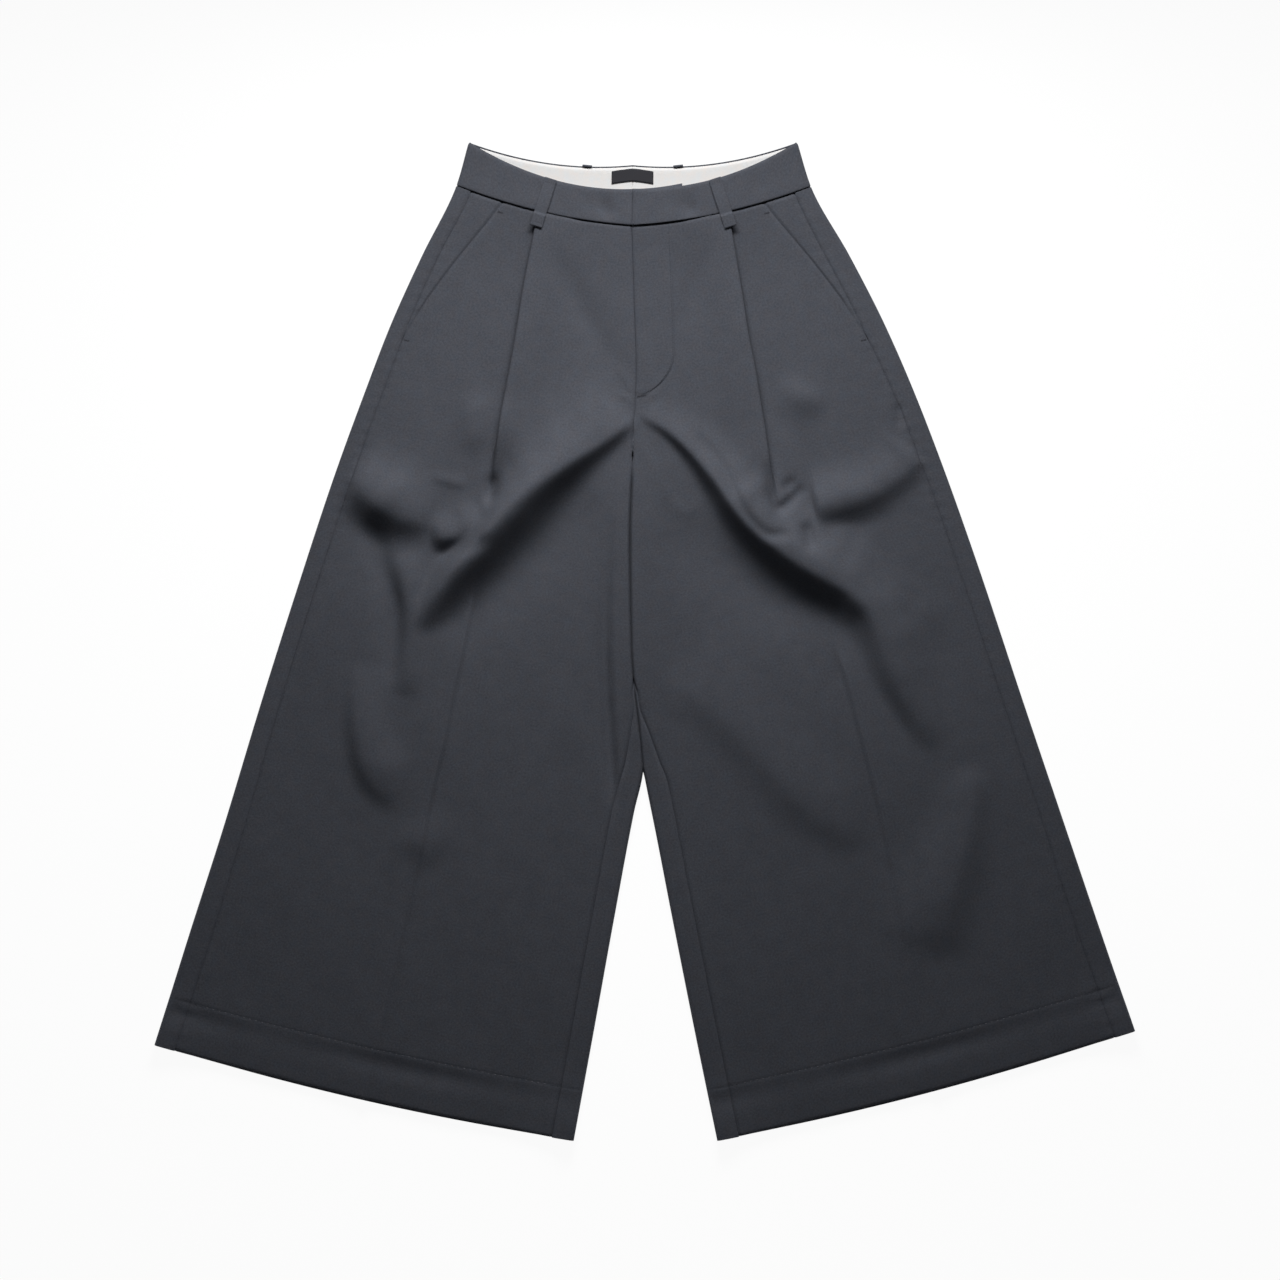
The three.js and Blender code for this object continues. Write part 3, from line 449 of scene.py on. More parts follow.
def ring_of(rows, arc):
    """Points round the inner edge of a leg and over its top. The arc starts under the inner edge.

    The upper half of the edge leans steeply away from the other leg, which leaves a narrow groove.
    """
    r = rows.inner_radius
    angle = np.clip(arc / r, 0, np.pi)
    turning = arc < np.pi * r
    start, whole, fading, end = SLIT_ROWS
    slit = smooth((rows.t - start) / (whole - start)) * smooth((end - rows.t) / (end - fading))
    upper_r = r * mix(1, SLIT_ROUND, slit)
    gape = SLIT_GAPE * slit
    flat_d = np.maximum(arc - (np.pi - 1) * r, 0)
    flat_d = flat_d + rows.closed * (upper_r + gape - r) * (1 - smooth((flat_d - r) / SLIT_FADE))
    flat_z = top_at(rows, flat_d)
    round_d = np.where(angle > np.pi / 2, upper_r, r) * (1 - np.sin(angle))
    turned_d = np.where(turning, round_d + gape * np.maximum(2 * angle / np.pi - 1, 0), flat_d)
    turned_z = np.where(turning, rows.under + r * (1 - np.cos(angle)), flat_z)
    return mix(flat_d, turned_d, rows.closed), mix(flat_z, turned_z, rows.closed)


def pleat_drop(rows):
    """The pleat's fold on each row: its turn, the lengths of its three stretches, and its whole drop."""
    start, end = rows.leg.opens
    opened = smooth((rows.t - start) / (end - start))
    angle = np.pi * (1 - opened)
    spare = CREASE_STEP * opened
    depth = PLEAT_DEPTH * np.clip(1 - rows.t / end, 0, 1) + spare + GAP
    nose = 2 * CLOTH * np.tan(angle / 4) + GAP + spare
    heel = GAP + spare
    drop = (nose + heel) * np.sin(angle / 2) + depth * np.sin(angle)
    return angle, nose, depth, heel, drop


# How far the pleat's folded edge puffs up, and how far the cloth beyond it dips.
Puff = namedtuple("Puff", "t ridge dip")
PLEAT_PUFF = [
    Puff(0, 0.6, 0.3),
    Puff(0.05, 3, 1.8),
    Puff(0.13, 5, 3),
    Puff(0.22, 5.5, 3.4),
    Puff(0.27, 3.6, 1.4),
    Puff(0.3, 1.6, 0.2),
    Puff(0.325, 0, 0),
]


def crease_at(rows, past):
    """The pressed crease below the large folds: a soft ridge that drops off sharply towards the inseam."""
    away = np.abs(past)
    start, end = CREASE_SOFTENS
    inner = np.exp(-away / mix(*CREASE_INNER, smooth((rows.t - start) / (end - start))))
    inner = inner - CREASE_DIP * (1 - inner) * np.exp(-away / CREASE_DIP_REACH)
    shown = smooth((rows.t - rows.leg.creased) / CREASE_FADE)
    return CREASE_RISE * shown * np.where(past > 0, np.exp(-away / CREASE_OUTER), inner)


def surface_at(rows, d):
    """Height of the front on the centre's side of the pleat, where it climbs onto the fold."""
    away = read(rows.leg.edge, "crease", rows.t) * rows.width - d
    climbed = (pleat_drop(rows)[-1] + read(PLEAT_PUFF, "ridge", rows.t)) * smooth(1 - away / PLEAT_SPREAD)
    return top_at(rows, d) + crease_at(rows, -away) + np.where((rows.t < 0) | (away < 0), 0, climbed)


def lower_at(rows, d):
    """Height of the front on the outer side of the pleat, where it dips under the fold."""
    past = d - read(rows.leg.edge, "crease", rows.t) * rows.width
    dip = read(PLEAT_PUFF, "dip", rows.t) * smooth(1 - np.maximum(past, 0) / PLEAT_SPREAD)
    return top_at(rows, d) + crease_at(rows, past) - dip


def spread(start, end, shares):
    return start + (end - start) * np.asarray(shares)


def after_start(count):
    """Even shares of a stretch, without its start."""
    return np.linspace(0, 1, count + 1)[1:]


NOSE_STEPS = 7
LAYER_STEPS = 3
HEEL_STEPS = 4
LEAST_ANGLE = 1e-6


def fold_points(rows, edge):
    """The pleat on each row: an arc round its edge, the hidden layer, and an arc back to the lower one."""
    angle, nose, depth, heel, drop = pleat_drop(rows)
    ridge, dip = read(PLEAT_PUFF, "ridge", rows.t), read(PLEAT_PUFF, "dip", rows.t)
    half = np.maximum(angle / 2, LEAST_ANGLE)
    curl = half / np.sin(half)
    puff = (ridge + dip) / NOSE_STEPS
    steps = [(nose * curl / NOSE_STEPS, angle * (k + 0.5) / NOSE_STEPS, puff) for k in range(NOSE_STEPS)]
    steps += [(depth / LAYER_STEPS, angle, 0)] * LAYER_STEPS
    for k in range(HEEL_STEPS):
        steps.append((heel * curl / HEEL_STEPS, angle * (1 - (k + 0.5) / HEEL_STEPS), 0))
    d, rise = [edge], [drop + ridge]
    for length, way, sunk in steps:
        d.append(d[-1] + length * np.cos(way))
        rise.append(rise[-1] - length * np.sin(way) - sunk)
    d, rise = np.hstack(d), np.hstack(rise)
    return d, rise + crease_at(rows, d - edge)


POCKET_FOOT = 0.18
POCKET_TOP = 0.735
POCKET_CURVE = 0.03


def front_end(rows):
    """The slant pocket's mouth, or below it the side seam."""
    down = np.clip(rows.t / POCKET_FOOT, 0, 1)
    bulge = POCKET_CURVE * 4 * down * (1 - down)
    mouth = rows.width * (POCKET_TOP + (rows.seam / rows.width - POCKET_TOP) * down + bulge)
    return np.where(down >= 1, rows.seam, np.minimum(mouth, rows.seam))


HUG = np.array([0, 0.5, 1.2, 2.4, 4.5])  # close columns beside an edge, so that it can roll in
FINE_FROM = 12
FINE_MARGIN = 2
TURN_LEAST = 10
PAST_TURN = 30
EVEN_COLUMNS = 8
MIDDLE_COLUMNS = 43
SIDE_COLUMNS = 52
RETURN_SHARES = [0.3, 0.6, 0.85]


def front_section(leg, t):
    """Points of a front panel, row by row from the fly or the inseam to the pocket or the side seam."""
    rows = rows_of(leg, t)
    r = rows.inner_radius
    over = (np.pi - 1) * r
    inseam = read(INSEAM, "turn", rows.t) * np.pi * r + read(INSEAM, "past", rows.t)
    start = np.where(rows.open, over, inseam)
    fly = over + np.maximum(fly_edge_at(rows.t), FINE_FROM)
    turned = mix(fly - FINE_MARGIN, np.maximum(np.pi * r, start + TURN_LEAST), rows.closed)
    last = mix(fly + FLY_STEP + FINE_MARGIN, turned + PAST_TURN, rows.closed)
    even = after_start(EVEN_COLUMNS)
    arcs = np.hstack([start + HUG, spread(start + HUG[-1], turned, even), spread(turned, last, even)])
    near_d, near_z = ring_of(rows, arcs)
    edge = read(leg.edge, "crease", rows.t) * rows.width
    middle_d = spread(near_d[:, -1:], edge - PLEAT_APPROACH, after_start(MIDDLE_COLUMNS))
    fold_d, rise = fold_points(rows, edge)
    fold_z = top_at(rows, fold_d) + rise
    beyond = np.maximum(edge, fold_d[:, -1:]) + 2 * PLEAT_APPROACH
    return_d = spread(fold_d[:, -1:], beyond, RETURN_SHARES)
    end = front_end(rows)
    side_d = np.hstack([spread(beyond, end - HUG[-1], np.linspace(0, 1, SIDE_COLUMNS)), end - HUG[-2::-1]])
    d = np.hstack([near_d, middle_d, fold_d, return_d, side_d])
    flat_d = np.hstack([return_d, side_d])
    z = np.hstack([near_z, surface_at(rows, middle_d), fold_z, lower_at(rows, flat_d)])
    points = place(rows, d, z)
    share = np.clip(d / rows.width, 0, 1)
    raised = smooth((rows.t - HEM_SHORT_FROM) / (1 - HEM_SHORT_FROM))
    points[..., 1] += HEM_SHORT * raised * 4 * share * (1 - share)
    return points, near_d.shape[1] + middle_d.shape[1]


# Rows stand closest beside the ends and the hem's stitches, then over the folds.
Stretch = namedtuple("Stretch", "start end rows")
STRETCHES = [
    Stretch(0.005, 0.4, 110),
    Stretch(0.4, 0.94, 100),
    Stretch(0.94, 0.956, 20),
    Stretch(0.956, 0.996, 12),
]
PANEL_ROWS = np.concatenate([
    HUG[:-1] / LEG_LENGTH,
    [STRETCHES[0].start],
    *[np.linspace(*stretch)[1:] for stretch in STRETCHES],
    1 - HUG[-2::-1] / LEG_LENGTH,
])


LEAST_AREA = 1e-9


def grid_normals(points, outward):
    normal = np.cross(np.gradient(points, axis=1), np.gradient(points, axis=0)) * outward
    return normal / np.maximum(np.linalg.norm(normal, axis=-1, keepdims=True), LEAST_AREA)


def from_side(points, side):
    """Distance of each grid point from one of the grid's four sides, along the cloth."""
    axis = 0 if side in ("first_row", "last_row") else 1
    steps = np.linalg.norm(np.diff(points, axis=axis), axis=-1)
    zero = np.zeros_like(np.take(steps, [0], axis=axis))
    gone = np.concatenate([zero, np.cumsum(steps, axis=axis)], axis=axis)
    return gone if side.startswith("first") else np.take(gone, [-1], axis=axis) - gone


SEAM_DEPTH = 1.1
SEAM_REACH = 1.5


def sink_sides(points, outward, sides, depth=SEAM_DEPTH, reach=SEAM_REACH):
    """Rolls the cloth in at its sewn or folded sides, which leaves a fine valley along each seam."""
    normal = grid_normals(points, outward)
    for side in sides:
        sunk = depth * np.exp(-((from_side(points, side) / reach) ** 2))
        points = points - normal * sunk[..., None]
    return points


def lay_out(name, bm):
    """The finished mesh as an object, with its place in the mesh."""
    mesh = bpy.data.meshes.new(name)
    bm.to_mesh(mesh)
    bm.free()
    piece = bpy.data.objects.new(name, mesh)
    bpy.context.collection.objects.link(piece)
    return piece


def cloth_sheet(name, points, outward, thickness, grain_column=0):
    """A sheet of cloth: a grid moved to its points, its thickness inside and the grain in its UV map."""
    rows, columns = points.shape[:2]
    bm = bmesh.new()
    grain = bm.loops.layers.uv.new("grain")
    bmesh.ops.create_grid(bm, x_segments=columns - 1, y_segments=rows - 1, size=1)
    across, down = from_side(points, "first_column"), from_side(points, "first_row")
    across = across - across[:, grain_column:grain_column + 1]
    down = np.repeat(down[:, grain_column:grain_column + 1], columns, axis=1)
    place_of = {}
    for v in bm.verts:
        i = round((v.co.y + 1) / 2 * (rows - 1))
        j = round((v.co.x + 1) / 2 * (columns - 1))
        place_of[v] = (i, j)
        v.co = Vector(points[i, j] * MM)
    for face in bm.faces:
        face.smooth = True
        for loop in face.loops:
            i, j = place_of[loop.vert]
            loop[grain].uv = (across[i, j] * MM, down[i, j] * MM)
    if outward < 0:
        bmesh.ops.reverse_faces(bm, faces=bm.faces)
    piece = lay_out(name, bm)
    wall = piece.modifiers.new("wall", "SOLIDIFY")
    wall.thickness = thickness * MM
    wall.offset = -1
    wall.use_even_offset = False
    return piece


def sew_on(piece, node, material):
    """The piece takes its node's place and its cloth."""
    piece.data.materials.append(material)
    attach(piece, "root")
    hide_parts(node)


def new_group(name, inputs, outputs):
    group = bpy.data.node_groups.new(name, "ShaderNodeTree")
    for socket, kind, value in inputs:
        made = group.interface.new_socket(socket, in_out="INPUT", socket_type=kind)
        if value is not None:
            made.default_value = value
    for socket, kind in outputs:
        group.interface.new_socket(socket, in_out="OUTPUT", socket_type=kind)
    return group


def add_node(tree, kind, links=None, **settings):
    node = tree.nodes.new(kind)
    for key, value in settings.items():
        setattr(node, key, value)
    for socket, value in (links or {}).items():
        if isinstance(value, bpy.types.NodeSocket):
            tree.links.new(value, node.inputs[socket])
        else:
            node.inputs[socket].default_value = value
    return node


def maths(tree, operation, *values):
    node = add_node(tree, "ShaderNodeMath", dict(enumerate(values)), operation=operation)
    return node.outputs[0]


# Where the mix node keeps its two colours and its result.
MIX_A, MIX_B, MIX_RESULT = 6, 7, 2


def mix_colors(tree, share, a, b, blend="MIX"):
    links = {0: share, MIX_A: a, MIX_B: b}
    node = add_node(tree, "ShaderNodeMix", links, data_type="RGBA", clamp_factor=True, blend_type=blend)
    return node.outputs[MIX_RESULT]


# The weave's measures are in millimetres. Its shares are of the range from dark to light fibres.
SLANT = 0.9
WANDER = 0.5
YARN_PITCH = 0.45
YARN_HEIGHT = 0.25
PATCH_SHARE, RIDGE_SHARE, YARN_SHARE = 0.25, 0.16, 0.08
COOL, WARM = (0.97, 1.0, 1.035, 1), (1.04, 0.995, 0.975, 1)


def twill_group():
    """Twill weave along the grain: fine diagonal ridges, yarn by yarn, in mixed light and dark fibres."""
    tree = new_group(
        "twill weave",
        [
            ("Dark", "NodeSocketColor", (0.02, 0.02, 0.02, 1)),
            ("Light", "NodeSocketColor", (0.1, 0.1, 0.1, 1)),
            ("Ridge mm", "NodeSocketFloat", 0.9),
            ("Fleck", "NodeSocketFloat", 0.5),
        ],
        [("Color", "NodeSocketColor"), ("Height", "NodeSocketFloat"), ("Roughness", "NodeSocketFloat")],
    )
    given = add_node(tree, "NodeGroupInput")
    uv = add_node(tree, "ShaderNodeUVMap", uv_map="grain").outputs[0]
    in_mm = add_node(tree, "ShaderNodeVectorMath", {0: uv, "Scale": 1 / MM}, operation="SCALE").outputs[0]

    def noise(scale, detail):
        links = {"Vector": in_mm, "Scale": scale, "Detail": detail}
        return add_node(tree, "ShaderNodeTexNoise", links).outputs[0]

    axes = add_node(tree, "ShaderNodeSeparateXYZ", {0: in_mm})
    slanted = maths(tree, "MULTIPLY_ADD", axes.outputs[0], SLANT, axes.outputs[1])
    slanted = maths(tree, "MULTIPLY_ADD", noise(0.35, 2.0), WANDER, slanted)
    turns = maths(tree, "DIVIDE", slanted, given.outputs["Ridge mm"])
    ridge = maths(tree, "SINE", maths(tree, "MULTIPLY", turns, 2 * math.pi))
    yarn = maths(tree, "SINE", maths(tree, "MULTIPLY", axes.outputs[1], 2 * math.pi / YARN_PITCH))
    fibre, patch, melange = noise(0.5, 3.0), noise(0.06, 2.0), noise(0.11, 3.0)
    mixed = maths(tree, "MULTIPLY_ADD", maths(tree, "SUBTRACT", fibre, 0.5), given.outputs["Fleck"], 0.5)
    mixed = maths(tree, "MULTIPLY_ADD", maths(tree, "SUBTRACT", patch, 0.5), PATCH_SHARE, mixed)
    mixed = maths(tree, "MULTIPLY_ADD", ridge, RIDGE_SHARE, mixed)
    mixed = maths(tree, "MULTIPLY_ADD", yarn, YARN_SHARE, mixed)
    color = mix_colors(tree, mixed, given.outputs["Dark"], given.outputs["Light"])
    cast = mix_colors(tree, maths(tree, "MULTIPLY_ADD", melange, 2.4, -0.7), COOL, WARM)
    out = add_node(tree, "NodeGroupOutput")
    tree.links.new(mix_colors(tree, 1.0, color, cast, "MULTIPLY"), out.inputs["Color"])
    tree.links.new(maths(tree, "MULTIPLY_ADD", yarn, YARN_HEIGHT, ridge), out.inputs["Height"])
    tree.links.new(maths(tree, "MULTIPLY_ADD", fibre, 0.2, 0.72), out.inputs["Roughness"])
    return tree


TWILL_WEAVE = twill_group()


def woven(name, dark, light, ridge=0.9, fleck=1.0, relief=0.06, sheen=0.03):
    """Cloth or thread between two colours. The ridge's pitch and its relief are in millimetres."""
    material = bpy.data.materials.new(name)
    material.use_nodes = True
    tree = material.node_tree
    shader = tree.nodes["Principled BSDF"]
    shader.inputs["Specular IOR Level"].default_value = 0.25
    shader.inputs["Sheen Weight"].default_value = sheen
    shader.inputs["Sheen Roughness"].default_value = 0.45
    weave = add_node(tree, "ShaderNodeGroup", node_tree=TWILL_WEAVE)
    weave.inputs["Dark"].default_value = (*dark, 1)
    weave.inputs["Light"].default_value = (*light, 1)
    weave.inputs["Ridge mm"].default_value = ridge
    weave.inputs["Fleck"].default_value = fleck
    bump = add_node(tree, "ShaderNodeBump", {"Height": weave.outputs["Height"], "Strength": 0.6})
    bump.inputs["Distance"].default_value = relief * MM
    tree.links.new(weave.outputs["Color"], shader.inputs["Base Color"])
    tree.links.new(weave.outputs["Roughness"], shader.inputs["Roughness"])
    tree.links.new(bump.outputs["Normal"], shader.inputs["Normal"])
    return material


CHARCOAL = woven("charcoal twill", (0.045, 0.0488, 0.0615), (0.118, 0.126, 0.148))

for leg in (RIGHT, LEFT):
    outward = -leg.side
    points, crease_column = front_section(leg, PANEL_ROWS)
    points = sink_sides(points, outward, ("first_column", "last_column", "first_row"))
    points = sink_sides(points, outward, ("last_row",), depth=1, reach=1.6)
    front = cloth_sheet(f"front_leg_{leg.name}", points, outward, CLOTH, crease_column)
    sew_on(front, f"front_{leg.name}", CHARCOAL)


# Back leg panels
# Each back is one piece of the same twill. It lies underneath and rolls round both edges of the leg, so
# that a strip shows beside the side seam and, from the thigh down, beside the inseam.

INNER_ZONE = 16
LAP_SHARES = [0.35, 0.7]
LEG_TURN_COLUMNS = 11
UNDERSIDE_COLUMNS = 25
INSEAM_COLUMNS = 10
INSEAM_TURNED = 0.8  # the share of the way to the inseam that has even columns
BACK_GRAIN_COLUMN = 30


def outer_turn(front, back, shares):
    """The turned outer edge, from the top of the front layer to the underside of the back one."""
    points = []
    for angle in np.pi * np.asarray(shares):
        rows = back if angle > np.pi / 2 else front
        r = rows.outer_radius
        d, z = rows.width - r + r * np.sin(angle), rows.under + r * (1 + np.cos(angle))
        points.append(place(rows, d, z))
    return np.concatenate(points, axis=1)


def back_section(leg, t):
    """Points of a back panel, row by row from the side seam round the outer edge to the inseam."""
    front, back = rows_of(leg, t), rows_of(leg, t, "back")
    settle = front.width - front.outer_radius
    lap_d = np.hstack([front.seam + HUG, spread(front.seam + HUG[-1], settle, LAP_SHARES)])
    lap = place(front, lap_d, top_at(front, lap_d))
    turn = outer_turn(front, back, np.linspace(0, 1, LEG_TURN_COLUMNS))
    zone = back.inner_radius * back.closed + INNER_ZONE
    flat_d = spread(back.width - back.outer_radius, zone, after_start(UNDERSIDE_COLUMNS))
    flat = place(back, flat_d, back.under + 0 * flat_d)
    over = np.pi * back.inner_radius
    inseam = read(INSEAM, "turn", back.t) * over + read(INSEAM, "past", back.t)
    turned = np.minimum(INSEAM_TURNED * inseam, over)
    shares = np.linspace(0, 1, INSEAM_COLUMNS)
    last = spread(turned, inseam - HUG[2], shares[1::2])
    arcs = np.hstack([turned * shares, last, inseam - HUG[1::-1]])
    close_d = zone * (1 - after_start(arcs.shape[1]))
    ring_d, ring_z = ring_of(back, arcs)
    ring = place(back, mix(close_d, ring_d, back.closed), mix(back.under, ring_z, back.closed))
    return np.concatenate([lap, turn, flat, ring], axis=1)


for leg in (RIGHT, LEFT):
    outward = -leg.side
    points = sink_sides(back_section(leg, PANEL_ROWS), outward, ("first_column", "last_column"))
    back = cloth_sheet(f"back_leg_{leg.name}", points, outward, CLOTH, BACK_GRAIN_COLUMN)
    sew_on(back, f"back_{leg.name}", CHARCOAL)


# Side pieces of the slant pockets
# The pocket's inner layer is faced with the same twill. It shows between the slanted mouth and the side
# seam, one thickness lower than the front that lies over it.

POCKET_TUCK = 6
POCKET_RAMP = 3
POCKET_COLUMNS = 22
POCKET_LEAST = 2
POCKET_LAST = POCKET_LEAST + 0.2 * np.arange(1, 5)  # close columns where the piece runs out to a point

for leg in (RIGHT, LEFT):
    outward = -leg.side
    rows = rows_of(leg, PANEL_ROWS[PANEL_ROWS < POCKET_FOOT])
    mouth = front_end(rows)
    first = mouth - POCKET_TUCK
    end = np.maximum(rows.seam - HUG[-1], first + POCKET_LEAST)
    across = np.hstack([
        spread(first, end, np.linspace(0, 1, POCKET_COLUMNS)),
        np.maximum(rows.seam - HUG[-2::-1], first + POCKET_LAST),
    ])
    sunk = (CLOTH + GAP) * smooth(1 - (across - mouth) / POCKET_RAMP)
    points = place(rows, across, top_at(rows, across) - sunk)
    points = sink_sides(points, outward, ("last_column", "first_row"))
    side_piece = cloth_sheet(f"pocket_facing_{leg.name}", points, outward, CLOTH)
    sew_on(side_piece, f"pocket_side_{leg.name}", CHARCOAL)


# Waistband
# Two straight bands of doubled twill with a stiff interlining. They run from the fly round the side
# fold to a seam at the centre back, and the right one runs on under the left one as a tab with a corner
# that shows.

TAB_RISE = 3
TAB_SHARES = np.linspace(0, 1, 12)
BAND_SHARES = np.linspace(0, 1, 56)
BAND_TURN_COLUMNS = 13
BAND_BACK_COLUMNS = 23


def band_section(leg, t):
    """Points of half a waistband, row by row from the fly, or the end of the tab, to the centre back."""
    front, back = rows_of(leg, t), rows_of(leg, t, "back")
    front_d = spread(HUG[-1], front.width - front.outer_radius, BAND_SHARES[:-1])
    front_d = np.hstack([HUG[:-1] + 0 * front.t, front_d])
    panel = place(front, front_d, top_at(front, front_d))
    turn = outer_turn(front, back, np.linspace(0, 1, BAND_TURN_COLUMNS))
    behind_d = spread(back.width - back.outer_radius, 0, after_start(BAND_BACK_COLUMNS))
    behind = place(back, behind_d, back.under + 0 * behind_d)
    half = np.concatenate([panel, turn, behind], axis=1)
    if leg is LEFT:
        return half
    other = rows_of(LEFT, t)
    tab_d = np.concatenate([TAB_LENGTH - HUG[:-1], spread(TAB_LENGTH - HUG[-1], GAP, TAB_SHARES)])
    tab_d = tab_d + 0 * other.t
    tab = place(other, tab_d, top_at(other, tab_d) - BAND_CLOTH - GAP)
    tab[..., 1] += TAB_RISE * tab_d / TAB_LENGTH
    return np.concatenate([tab, half], axis=1)


BAND_MARGIN = 0.005
BAND_ROWS = np.concatenate([
    TOP + HUG[:-1] / LEG_LENGTH,
    np.linspace(TOP + BAND_MARGIN, -BAND_MARGIN, 12),
    -HUG[-2::-1] / LEG_LENGTH,
])

for leg in (RIGHT, LEFT):
    outward = -leg.side
    points = band_section(leg, BAND_ROWS)
    points = sink_sides(points, outward, ("first_column", "first_row"))
    points = sink_sides(points, outward, ("last_row",))
    band = cloth_sheet(f"band_{leg.name}", points, outward, BAND_CLOTH)
    sew_on(band, f"waistband_{leg.name}", CHARCOAL)


# Waistband lining
# Plain white cotton inside the back of the band, in two halves that are seamed at the centre back.

COTTON = woven(
    "white cotton", (0.80, 0.79, 0.77), (0.90, 0.89, 0.87), ridge=0.5, fleck=0.6, relief=0.03, sheen=0.05
)
LINING_CLOTH = 1
LINING_INSET = 2
LINING_SIDE = 9
LINING_TOP = BAND_CLOTH + GAP + LINING_CLOTH
LINING_ROWS = np.linspace(TOP + LINING_INSET / LEG_LENGTH, SEAM, 14)
LINING_SHARES = np.linspace(0, 1, 40)

for leg in (RIGHT, LEFT):
    outward = -leg.side
    rows = rows_of(leg, LINING_ROWS, "back")
    end = rows.width - rows.outer_radius - LINING_SIDE
    across = np.hstack([HUG[:-1] + 0 * rows.t, spread(HUG[-1], end, LINING_SHARES)])
    points = place(rows, across, rows.under + LINING_TOP + 0 * across)
    points = sink_sides(points, outward, ("first_column", "first_row"), depth=0.4, reach=0.8)
    lining = cloth_sheet(f"band_lining_{leg.name}", points, outward, LINING_CLOTH)
    sew_on(lining, f"waistband_lining_{leg.name}", COTTON)


# Label
# A small dark woven label, sewn to the lining across the centre-back seam. It is bare.

SATIN = woven(
    "label satin", (0.024, 0.024, 0.028), (0.05, 0.05, 0.058), ridge=0.35, fleck=0.4, relief=0.02, sheen=0
)
LABEL_CLOTH = 0.8
LABEL_REACH = 22
LABEL_ROWS = np.linspace(-0.0434, -0.0277, 11)
LABEL_X = np.linspace(-LABEL_REACH, LABEL_REACH, 33)
LABEL_ARCH = 1.6

halves = []
for leg, part in ((RIGHT, LABEL_X[LABEL_X < 0]), (LEFT, LABEL_X[LABEL_X >= 0])):
    rows = rows_of(leg, LABEL_ROWS, "back")
    across = np.abs(part)[None, :] + 0 * rows.t
    half = place(rows, across, rows.under + LINING_TOP + GAP + LABEL_CLOTH + 0 * across)
    half[..., 1] += LABEL_ARCH * (1 - (part / LABEL_REACH) ** 2)
    halves.append(half)
label = cloth_sheet("back_label", np.concatenate(halves, axis=1), -LEFT.side, LABEL_CLOTH)
sew_on(label, "label", SATIN)


# Belt loops
# Narrow strips of folded twill. The front ones are stitched over the band's top edge and below the
# waist seam. The back ones lie under the band and are turned over its top edge.

LOOP_WIDTH = 13
LOOP_END = 0.018
LOOP_ROWS = 41
LOOP_SHARES = (0.527, 0.497)  # of the row's width, at the loop's foot and at its top
LOOP_CLEAR = 0.6
LOOP_SLACK = 1.2
LOOP_OFFSETS = np.sin(np.linspace(-1, 1, 15) * np.pi / 2)
LOOP_ROUND = 0.55
LOOP_FLATNESS = 8
LOOP_STITCHING = 4.5
LOOP_MARGIN = 1
BACK_LOOP_AT = 0.277
BACK_LOOP_WIDTH = 10
BACK_LOOP_LAP = np.linspace(-0.8, 0, 5)
BACK_LOOP_BEND = np.linspace(0, np.pi, 13)
BACK_LOOP_RUN = np.linspace(1, 0, 24)[1:]


def strip_between(name, foot, top, width, x, z):
    """A folded strip whose outer line is given as distances from its foot, with heights."""
    way = (top - foot) / np.linalg.norm(top - foot)
    across = np.array([way[1], -way[0]])
    offsets = width / 2 * LOOP_OFFSETS
    crown = -LOOP_ROUND * np.abs(LOOP_OFFSETS) ** LOOP_FLATNESS
    plan = foot + x[:, None, None] * way + offsets[None, :, None] * across
    points = np.concatenate([plan, (z[:, None] + crown)[..., None]], axis=-1)
    return cloth_sheet(name, points, 1, LOOP_CLOTH)


def loop_cloth(piece, node):
    sew_on(piece, node, CHARCOAL)


loop_tacks = []
for leg in (RIGHT, LEFT):
    share = np.linspace(0, 1, LOOP_ROWS)
    rows = rows_of(leg, mix(LOOP_END, TOP, share))
    d = mix(*LOOP_SHARES, share[:, None]) * rows.width
    line = np.hstack(plan_of(rows, d))
    slack = LOOP_CLEAR + LOOP_SLACK * np.sin(np.pi * share) ** 2
    over = np.maximum(surface_at(rows, d), surface_at(rows, d - LOOP_WIDTH / 2))
    height = over[:, 0] + slack + LOOP_CLOTH
    foot, top = line[0], line[-1]
    length = np.linalg.norm(top - foot)
    front_loop = strip_between(f"loop_front_{leg.name}", foot, top, LOOP_WIDTH, share * length, height)
    loop_cloth(front_loop, f"belt_loop_front_{leg.name}")
    way = (top - foot) / length
    reach = np.array([way[1], -way[0]]) * (LOOP_WIDTH / 2 - LOOP_MARGIN)
    for up in (LOOP_STITCHING, length - LOOP_STITCHING):
        middle = foot + way * up
        z = np.interp(up, share * length, height)
        loop_tacks.append(np.array([[*(middle - reach), z], [*(middle + reach), z]]))

    rows = rows_of(leg, [LOOP_END, TOP], "back")
    foot, top = np.hstack(plan_of(rows, BACK_LOOP_AT * rows.width))
    length = np.linalg.norm(top - foot)
    crest = LOOP_BED + LINING_TOP + GAP + LOOP_CLOTH
    along = [length + BACK_LOOP_LAP, length + LOOP_CLOTH * np.sin(BACK_LOOP_BEND), length * BACK_LOOP_RUN]
    heights = [crest + 0 * BACK_LOOP_LAP, crest / 2 * (1 + np.cos(BACK_LOOP_BEND)), 0 * BACK_LOOP_RUN]
    x, z = np.concatenate(along), np.concatenate(heights)
    back_loop = strip_between(f"loop_back_{leg.name}", foot, top, BACK_LOOP_WIDTH, x, z)
    loop_cloth(back_loop, f"belt_loop_back_{leg.name}")


# Stitching
# Polyester thread: the fly's curved row, bar tacks at the fly's foot and the pocket mouths, the ends of
# the belt loops, and the hem's blind stitches, which show as light pricks with a few dark ones beside
# the seams.

